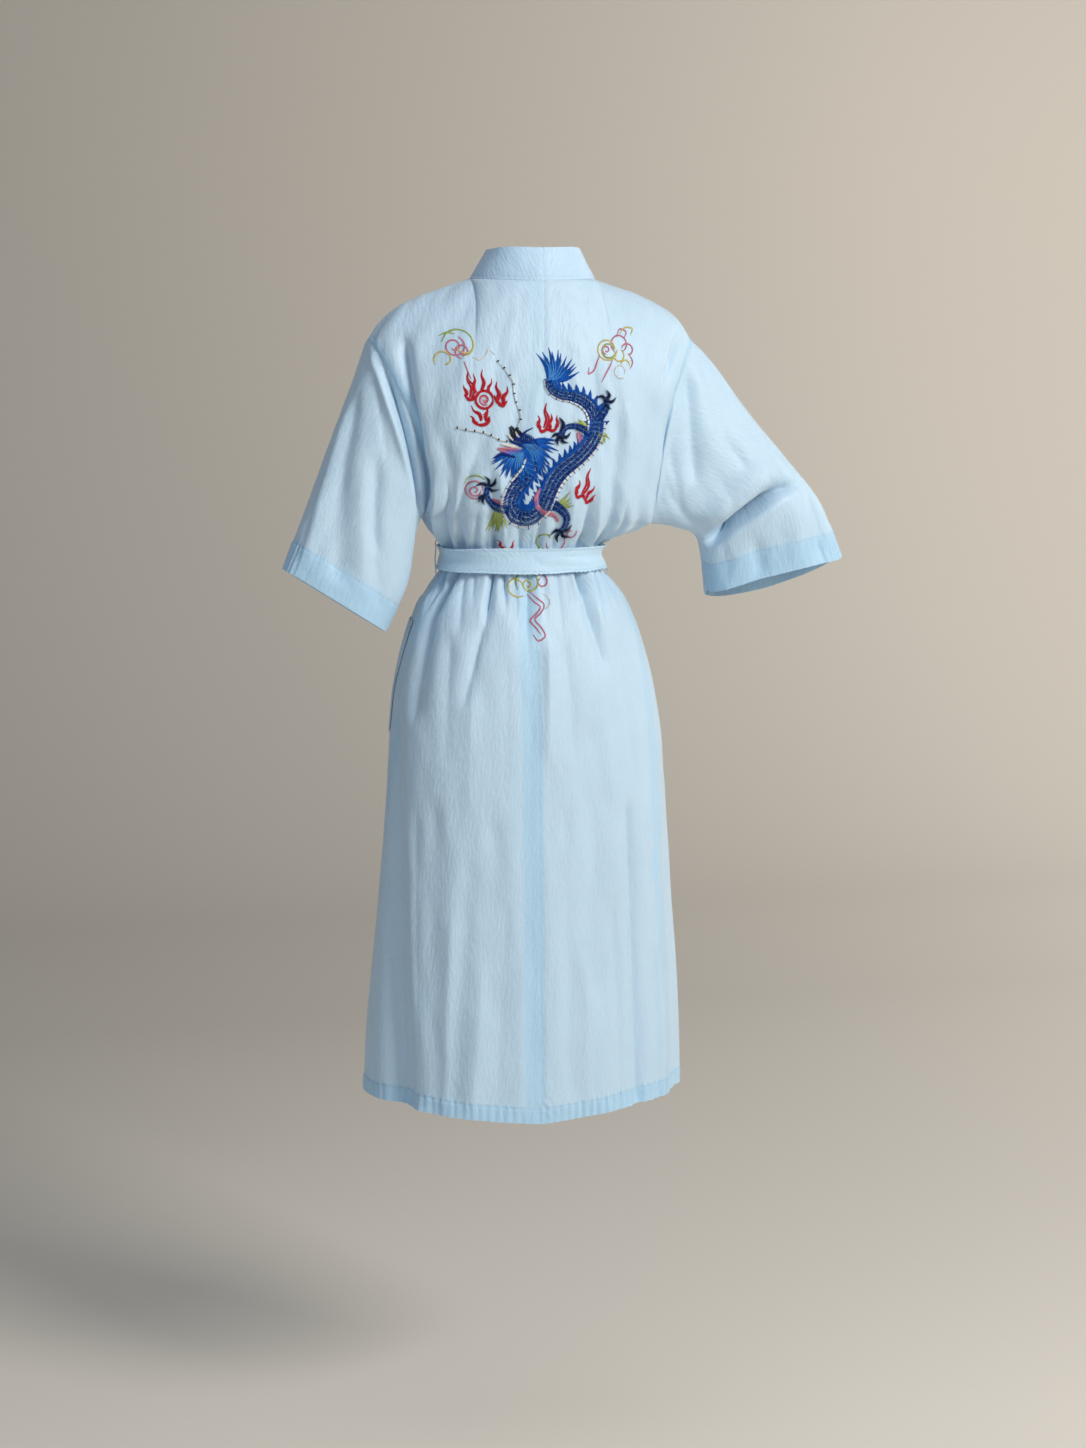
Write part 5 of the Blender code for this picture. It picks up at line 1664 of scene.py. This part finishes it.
def scales(colour, layer, rows, crest, offsets, size=SCALE_SIZE):
    """Rows of small curved scales along a body, each row set between those of the last."""
    line, way, over = path_of(rows, SCALE_PITCH)
    for number, (centre, along, aside) in enumerate(zip(line, way, over)):
        for offset in offsets[number % 2]:
            middle = centre[:2] + aside * offset * crest * centre[2]
            turn = math.atan2(along[1], along[0]) + np.radians([-80, 0, 80])
            arc = middle + size * np.stack([np.cos(turn), np.sin(turn)], -1)
            sew_threads(colour, layer, arc[:-1], arc[1:], SCALE_THREAD)


def spikes(colour, layer, rows, edge, length, width, lean):
    """Pointed spikes along one edge of a body, leaning back along it."""
    line, way, over = path_of(rows, SPIKE_PITCH)
    for centre, along, aside in list(zip(line, way, over))[1:-1]:
        foot = centre[:2] + aside * edge * centre[2]
        tip = foot + aside * math.copysign(length, edge) - along * lean
        middle = (foot + tip) / 2 - along * lean * 0.1
        satin(colour, layer, [(*foot, width), (*middle, width * 0.7), (*tip, 0.8)])


def ticks(colour, layer, rows, low, high, pitch=TICK_PITCH, width=TICK_THREAD):
    """Short threads across a band, at even steps along it."""
    line, _, over = path_of(rows, pitch)
    middle, across = line[:, :2], line[:, 2:3]
    sew_threads(colour, layer, middle + over * low * across, middle + over * high * across, width)


def dragon_body(rows, crest):
    """A stretch of the body: spikes on its crest side, scales, and a belly edge of white and dark."""
    spikes("royal", 1, rows, crest * 0.42, 9, 7.5, 5)
    satin("navy", 2, rows, ragged=0.04)
    satin("royal", 3, rows, *sorted((crest * 0.5, crest * 0.30)), slant=0.8)
    scales("azure", 4, rows, crest, ((-0.32, -0.06, 0.20), (-0.19, 0.07)))
    ticks("white", 4, rows, -crest * 0.59, -crest * 0.45, 1.2)
    ticks("navy", 5, rows, -crest * 0.66, -crest * 0.40)


def draw_dragon():
    """The blue dragon: fins and plume under its scaled body, then legs, claws, mane, head and whiskers."""
    for colour, layer, across, down, first, last, strokes, length, width, bend in DRAGON_FANS:
        for angle in np.linspace(first, last, strokes):
            turned = angle + chance.uniform(-3, 3)
            tapered(colour, layer, across, down, turned, length * chance.uniform(0.85, 1.1), width, bend)
    dragon_body(DRAGON_TAIL, -1)
    dragon_body(DRAGON_TRUNK, 1)
    for leg in DRAGON_LEGS:
        satin("navy", 4, leg)
        scales("azure", 5, leg, 1, ((-0.2, 0.2), (0.0,)), 2.0)
    for across, down, length, first, last in DRAGON_CLAWS:
        for angle in np.linspace(first, last, 4 if last - first > 60 else 2):
            tapered("ink", 5, across, down, angle, length, CLAW_WIDTH, CLAW_BEND)
    for colour, layer, rows in DRAGON_HEAD:
        satin(colour, layer, rows)
    for points in WHISKERS:
        drawn_line("white", 4, points, WHISKER_WIDTH)
        ticks("black", 5, [(*point, 4.4) for point in points], -0.42, 0.42, WHISKER_TICK_PITCH, 2.0)


def draw_sky():
    """The flaming pearl, the flames and the clouds."""
    across, down, radius = PEARL
    spiral("red", 2, across, down, radius, radius, 0, 360, 4.0)
    spiral("rose", 1, across, down, radius * 0.62, 1.0, 60, 500, 3.4)
    spiral("red", 2, across, down, radius * 0.55, radius * 0.35, 200, 260, 1.6)
    for base_across, base_down, tip_across, tip_down, sway, width in FLAMES:
        run = np.array([tip_across - base_across, tip_down - base_down], float)
        off = np.array([-run[1], run[0]]) / np.linalg.norm(run) * sway
        base = np.array([base_across, base_down], float)
        rows = [(*base, width * 0.8), (*(base + run * 0.35 + off * 0.6), width),
                (*(base + run * 0.7 - off * 0.3), width * 0.5), (*(base + run), 0.8)]
        satin("red", 1, rows)
    for points in FLAME_FEET:
        drawn_line("red", 2, points, 5.2)
    for colour, *curl in CLOUDS:
        spiral(colour, 1, *curl)
    for colour, points in CLOUD_TAILS:
        drawn_line(colour, 1, points)


def linear(code):
    """Linear colour of an sRGB hex code."""
    parts = [int(code[i:i + 2], 16) / 255 for i in (1, 3, 5)]
    return (*[part / 12.92 if part <= 0.04045 else ((part + 0.055) / 1.055) ** 2.4 for part in parts], 1.0)


def add_node(tree, kind, place, inputs=(), **settings):
    """Adds a node with its settings. Each input is a value, or the output that it is linked from."""
    node = tree.nodes.new(kind)
    node.location = place
    for name, value in settings.items():
        setattr(node, name, value)
    for key, value in dict(inputs).items():
        if isinstance(value, bpy.types.NodeSocket):
            tree.links.new(value, node.inputs[key])
        else:
            node.inputs[key].default_value = value
    return node


def new_material(name, roughness):
    """An empty node material with its shader."""
    material = bpy.data.materials.new(name)
    material.use_nodes = True
    shader = material.node_tree.nodes["Principled BSDF"]
    shader.inputs["Roughness"].default_value = roughness
    return material, material.node_tree, shader


def per_metre(*sizes):
    """Scale of a pattern with features of these sizes in millimetres, along each axis."""
    return tuple(1 / (size * MM) for size in sizes)


def satin_cotton(name, colour, doubled_colour):
    """Light cotton in a satin weave: fine slubs and crinkles, and a stronger blue where it lies double."""
    material, tree, shader = new_material(name, 0.5)
    cut = add_node(tree, "ShaderNodeUVMap", (-1500, 0), uv_map="cut").outputs["UV"]
    # Slubs: long thin unevenness of the yarn, down the warp and across the weft.
    slubs = []
    for across, y in ((True, 150), (False, -150)):
        sizes = SLUB if across else SLUB[::-1]
        run = add_node(tree, "ShaderNodeMapping", (-1300, y), {
            "Vector": cut, "Scale": (*per_metre(*sizes), 1)})
        noise = {"Vector": run.outputs[0], "Scale": 1.0, "Detail": 2.0}
        slubs.append(add_node(tree, "ShaderNodeTexNoise", (-1100, y), noise).outputs["Fac"])
    yarns = add_node(tree, "ShaderNodeMath", (-900, 0), {0: slubs[0], 1: slubs[1]}, operation="ADD")
    # Mottling: the dye and the wear are a little uneven over a hand's breadth.
    place = add_node(tree, "ShaderNodeTexCoord", (-1500, -500)).outputs["Object"]
    noise = {"Vector": place, "Scale": MOTTLING, "Detail": 3.0}
    mottling = add_node(tree, "ShaderNodeTexNoise", (-1100, -400), noise)
    both = {0: yarns.outputs[0], 1: mottling.outputs["Fac"]}
    depth = add_node(tree, "ShaderNodeMath", (-700, 0), both, operation="ADD")
    value = add_node(tree, "ShaderNodeMapRange", (-500, 0), {
        "Value": depth.outputs[0], "From Min": 1.05, "From Max": 1.95, "To Min": 0.955, "To Max": 1.035})
    double = add_node(tree, "ShaderNodeAttribute", (-700, 300), attribute_name="doubled")
    dyes = {0: double.outputs["Fac"], 6: linear(colour), 7: linear(doubled_colour)}
    tint = add_node(tree, "ShaderNodeMix", (-500, 300), dyes, data_type="RGBA")
    tone = add_node(tree, "ShaderNodeHueSaturation", (-300, 200), {
        "Color": tint.outputs[2], "Value": value.outputs[0]})
    tree.links.new(tone.outputs[0], shader.inputs["Base Color"])
    # Crinkles: the small, slanting unevenness that washing leaves, a few millimetres apart.
    slant = add_node(tree, "ShaderNodeMapping", (-1300, -700), {
        "Vector": cut, "Rotation": (0, 0, 0.6), "Scale": (*per_metre(*CRINKLE), 1)})
    crinkles = add_node(tree, "ShaderNodeTexNoise", (-1100, -700), {
        "Vector": slant.outputs[0], "Scale": 1.0, "Detail": 3.0})
    washed = add_node(tree, "ShaderNodeBump", (-700, -600), {
        "Height": crinkles.outputs["Fac"], "Strength": 0.7, "Distance": CRINKLE_HEIGHT * MM})
    weave = add_node(tree, "ShaderNodeBump", (-500, -400), {
        "Height": yarns.outputs[0], "Strength": 0.3, "Distance": SLUB_HEIGHT * MM,
        "Normal": washed.outputs[0]})
    tree.links.new(weave.outputs[0], shader.inputs["Normal"])
    # Light comes through thin cloth, and its loose fibres catch the light at the edges.
    shader.inputs["Subsurface Weight"].default_value = 0.3
    shader.inputs["Subsurface Radius"].default_value = (0.7, 0.9, 1.0)
    shader.inputs["Subsurface Scale"].default_value = 0.0016
    shader.inputs["Sheen Weight"].default_value = 0.25
    shader.inputs["Sheen Roughness"].default_value = 0.45
    shader.inputs["Specular IOR Level"].default_value = 0.35
    return material


def spun_thread(name, colour, roughness=0.5):
    """Rayon or cotton thread: a soft gloss, a little uneven from one strand to the next."""
    material, tree, shader = new_material(name, roughness)
    place = add_node(tree, "ShaderNodeTexCoord", (-900, 0)).outputs["Object"]
    noise = {"Vector": place, "Scale": STRANDS, "Detail": 2.0}
    strands = add_node(tree, "ShaderNodeTexNoise", (-700, 0), noise)
    value = add_node(tree, "ShaderNodeMapRange", (-500, 0), {
        "Value": strands.outputs["Fac"], "From Min": 0.3, "From Max": 0.7, "To Min": 0.82, "To Max": 1.14})
    tone = add_node(tree, "ShaderNodeHueSaturation", (-300, 0), {
        "Color": linear(colour), "Value": value.outputs[0]})
    tree.links.new(tone.outputs[0], shader.inputs["Base Color"])
    shader.inputs["Specular IOR Level"].default_value = 0.22
    return material


def backdrop():
    """A pale floor that curves up into the wall behind the robe, with painted light and shade in its colour.
    """
    profile = [(-BACKDROP_DISTANCE, FLOOR_LEVEL), (0.0, FLOOR_LEVEL)]
    for turn in np.linspace(0, math.pi / 2, 24):
        profile.append((BACKDROP_DISTANCE - BACKDROP_BEND + BACKDROP_BEND * math.sin(turn),
                        FLOOR_LEVEL + BACKDROP_BEND * (1 - math.cos(turn))))
    profile.append((BACKDROP_DISTANCE, BACKDROP_TOP))
    points = [(x, -run, z) for run, z in profile for x in (-BACKDROP_SIDE, BACKDROP_SIDE)]
    sheet = bpy.data.meshes.new("backdrop")
    faces = [(2 * i, 2 * i + 1, 2 * i + 3, 2 * i + 2) for i in range(len(profile) - 1)]
    sheet.from_pydata(points, [], faces)
    sheet.shade_smooth()
    paper, tree, shader = new_material("seamless paper, warm grey, matt", 0.92)
    # Painted light and shade: the paper's colour is paler towards the front of the floor and the wearer's
    # right.
    place = add_node(tree, "ShaderNodeTexCoord", (-900, 0)).outputs["Object"]
    axes = add_node(tree, "ShaderNodeSeparateXYZ", (-700, 0), {"Vector": place})
    shares = []
    for axis, start, end, low, high in PAPER_PAINTED_LIGHT:
        shares.append(add_node(tree, "ShaderNodeMapRange", (-500, 0), {
            "Value": axes.outputs[axis], "From Min": start, "From Max": end,
            "To Min": low, "To Max": high}).outputs[0])
    value = add_node(tree, "ShaderNodeMath", (-300, 0), {0: shares[0], 1: shares[1]}, operation="MULTIPLY")
    tone = add_node(tree, "ShaderNodeHueSaturation", (-150, 0), {
        "Color": linear(PAPER), "Value": value.outputs[0]})
    tree.links.new(tone.outputs[0], shader.inputs["Base Color"])
    sheet.materials.append(paper)
    placed("backdrop", sheet)


def area_light(name, place, aim, size, power, colour):
    """A soft rectangular light at a place, turned to an aim."""
    bpy.ops.object.select_all(action="DESELECT")
    bpy.ops.object.light_add(type="AREA", location=place)
    light = bpy.context.object
    light.name = name
    light.data.shape = "RECTANGLE"
    light.data.size, light.data.size_y = size
    light.data.energy = power
    light.data.color = linear(colour)[:3]
    light.rotation_euler = (Vector(aim) - Vector(place)).to_track_quat("-Z", "Y").to_euler()


# The camera stands where the photograph was taken from, a little to the wearer's left behind the robe.
camera_data = bpy.data.cameras.new("camera")
camera_data.sensor_fit = "VERTICAL"
camera_data.sensor_height = 24.0
camera_data.lens = CAMERA_LENS
camera = placed("camera", camera_data)
pitch, yaw = math.radians(CAMERA_PITCH), math.radians(CAMERA_YAW)
look = Vector((-math.sin(yaw) * math.cos(pitch), -math.cos(yaw) * math.cos(pitch), -math.sin(pitch)))
right = look.cross(Vector((0, 0, 1))).normalized()
turned = Matrix((right, right.cross(look), -look)).transposed().to_4x4()
camera.matrix_world = Matrix.Translation(CAMERA_PLACE) @ turned
bpy.context.scene.camera = camera

# Light cotton in satin weave, piece-dyed: soft and even, with a faint gloss and a pale, cool blue.
COTTON = satin_cotton("cotton satin, piece-dyed pale blue, pressed", CLOTH_COLOUR, DOUBLED_COLOUR)
# The belt is the same cloth folded over, which makes it smoother to the eye and stronger in colour.
BELT_COTTON = satin_cotton("cotton satin, piece-dyed pale blue, folded and edge-stitched", CLOTH_COLOUR,
                           BELT_COLOUR)
# Spun cotton sewing thread: matt, pale blue and a shade deeper than the cloth, so that its rows just show.
# The deeper shade is painted shade: it stands for the small shadows of the stitch holes.
SEWING = spun_thread("cotton sewing thread, pale blue", THREAD_COLOUR_WITH_PAINTED_SHADE, 0.6)
# Rayon embroidery thread, laid in satin stitches: strong, clear colours with a soft gloss.
EMBROIDERY = {colour: spun_thread(f"rayon embroidery thread, {colour}", code)
              for colour, code in EMBROIDERY_COLOURS.items()}

# The sewn cloth.
yoke_shares, lower_levels = fine_rows()
row_set = body_rows(yoke_shares, lower_levels)
cloth = body_pieces(row_set)
cloth.update(collar_pieces(row_set, cloth))
cloth.update(sleeve_pieces(yoke_shares))
sew(list(cloth.values()))

yoke_end = len(yoke_shares) / len(row_set[0])
hem_seam = ("bottom", HEM_WIDTH - HEM_STITCH_INSET, 1.0)
seams = {
    "back": [hem_seam, *(("last", row, yoke_end) for row in ARMHOLE_STITCH_ROWS)],
    "front": [hem_seam, *(("first", row, yoke_end) for row in ARMHOLE_STITCH_ROWS)],
    "sleeve": [("bottom", SLEEVE_HEM_WIDTH - HEM_STITCH_INSET, 1.0)],
    "collar": [("top", COLLAR_STITCH_INSET, 1.0)],
}
shown = {}
for (kind, side), piece in cloth.items():
    node = f"{'collar_band' if kind == 'collar' else kind}_{SIDE_NAMES[side]}"
    thick = BAND_THICK if kind == "collar" else CLOTH_THICK
    shown[kind, side] = cloth_sheet(f"{node}_cloth", kind, piece, thick / 2, thick, COTTON, (node,))
    stitches = stitching(f"{node}_stitches", piece, seams[kind], thick / 2)
    if kind == "back":
        belt_loop(f"belt_loop_{SIDE_NAMES[side]}", piece, side)

# The belt with its knot and hanging ends.
belt = lone(belt_piece())
tails = {f"belt_tail_{name}": lone(tail_piece(table))
         for name, table in (("left", TAIL_LEFT), ("right", TAIL_RIGHT))}
belt_lift = BELT_LIFT + BELT_THICK / 2
ring = cloth_sheet("belt_cloth", "belt", belt, belt_lift, BELT_THICK, BELT_COTTON, ("belt",))
belt_seams = [(edge, BELT_STITCH_INSET, 1.0) for edge in ("top", "bottom")]
belt_stitches = stitching("belt_stitches", belt, belt_seams, belt_lift)
belt_knot("belt_knot")
for name, tail in tails.items():
    end = cloth_sheet(f"{name}_cloth", "belt", tail, BELT_THICK / 2, BELT_THICK, BELT_COTTON, (name,))
    end_seams = [(edge, BELT_STITCH_INSET, 1.0) for edge in ("first", "last")]
    end_stitches = stitching(f"{name}_stitches", tail, end_seams, BELT_THICK / 2)

# The pocket.
pocket = lone(pocket_piece(cloth["front", LEFT], row_set[0]))
pocket_lift = POCKET_LIFT + CLOTH_THICK / 2
patch = cloth_sheet("pocket_left_cloth", "pocket", pocket, pocket_lift, CLOTH_THICK, COTTON, ("pocket_left",))
pocket_seams = [(edge, POCKET_STITCH_INSET, 1.0) for edge in ("first", "last", "bottom")]
pocket_seams.append(("top", POCKET_HEM, 1.0))
pocket_stitches = stitching("pocket_left_stitches", pocket, pocket_seams, pocket_lift)

# The embroidery on the back.
chance = np.random.default_rng(THREAD_SEED)
embroidery = {}
BACK_DEPTH = height_map([shown["back", LEFT], shown["back", RIGHT]])
draw_dragon()
draw_sky()
for colour, runs in embroidery.items():
    joined_threads(f"embroidery_{colour}", thread_shapes(runs), THREAD_FACES, EMBROIDERY[colour])

# The room: a seamless backdrop, a key light from the wearer's right, weak ones from the left and from above,
# a light of the backdrop's own, and a little light from all around.
backdrop()
for light in LIGHTS:
    area_light(*light)
world = bpy.data.worlds.new("soft room light")
bpy.context.scene.world = world
world.use_nodes = True
world.node_tree.nodes["Background"].inputs["Color"].default_value = linear(ROOM_COLOUR)
world.node_tree.nodes["Background"].inputs["Strength"].default_value = ROOM_LIGHT
bpy.context.scene.view_settings.view_transform = "Standard"
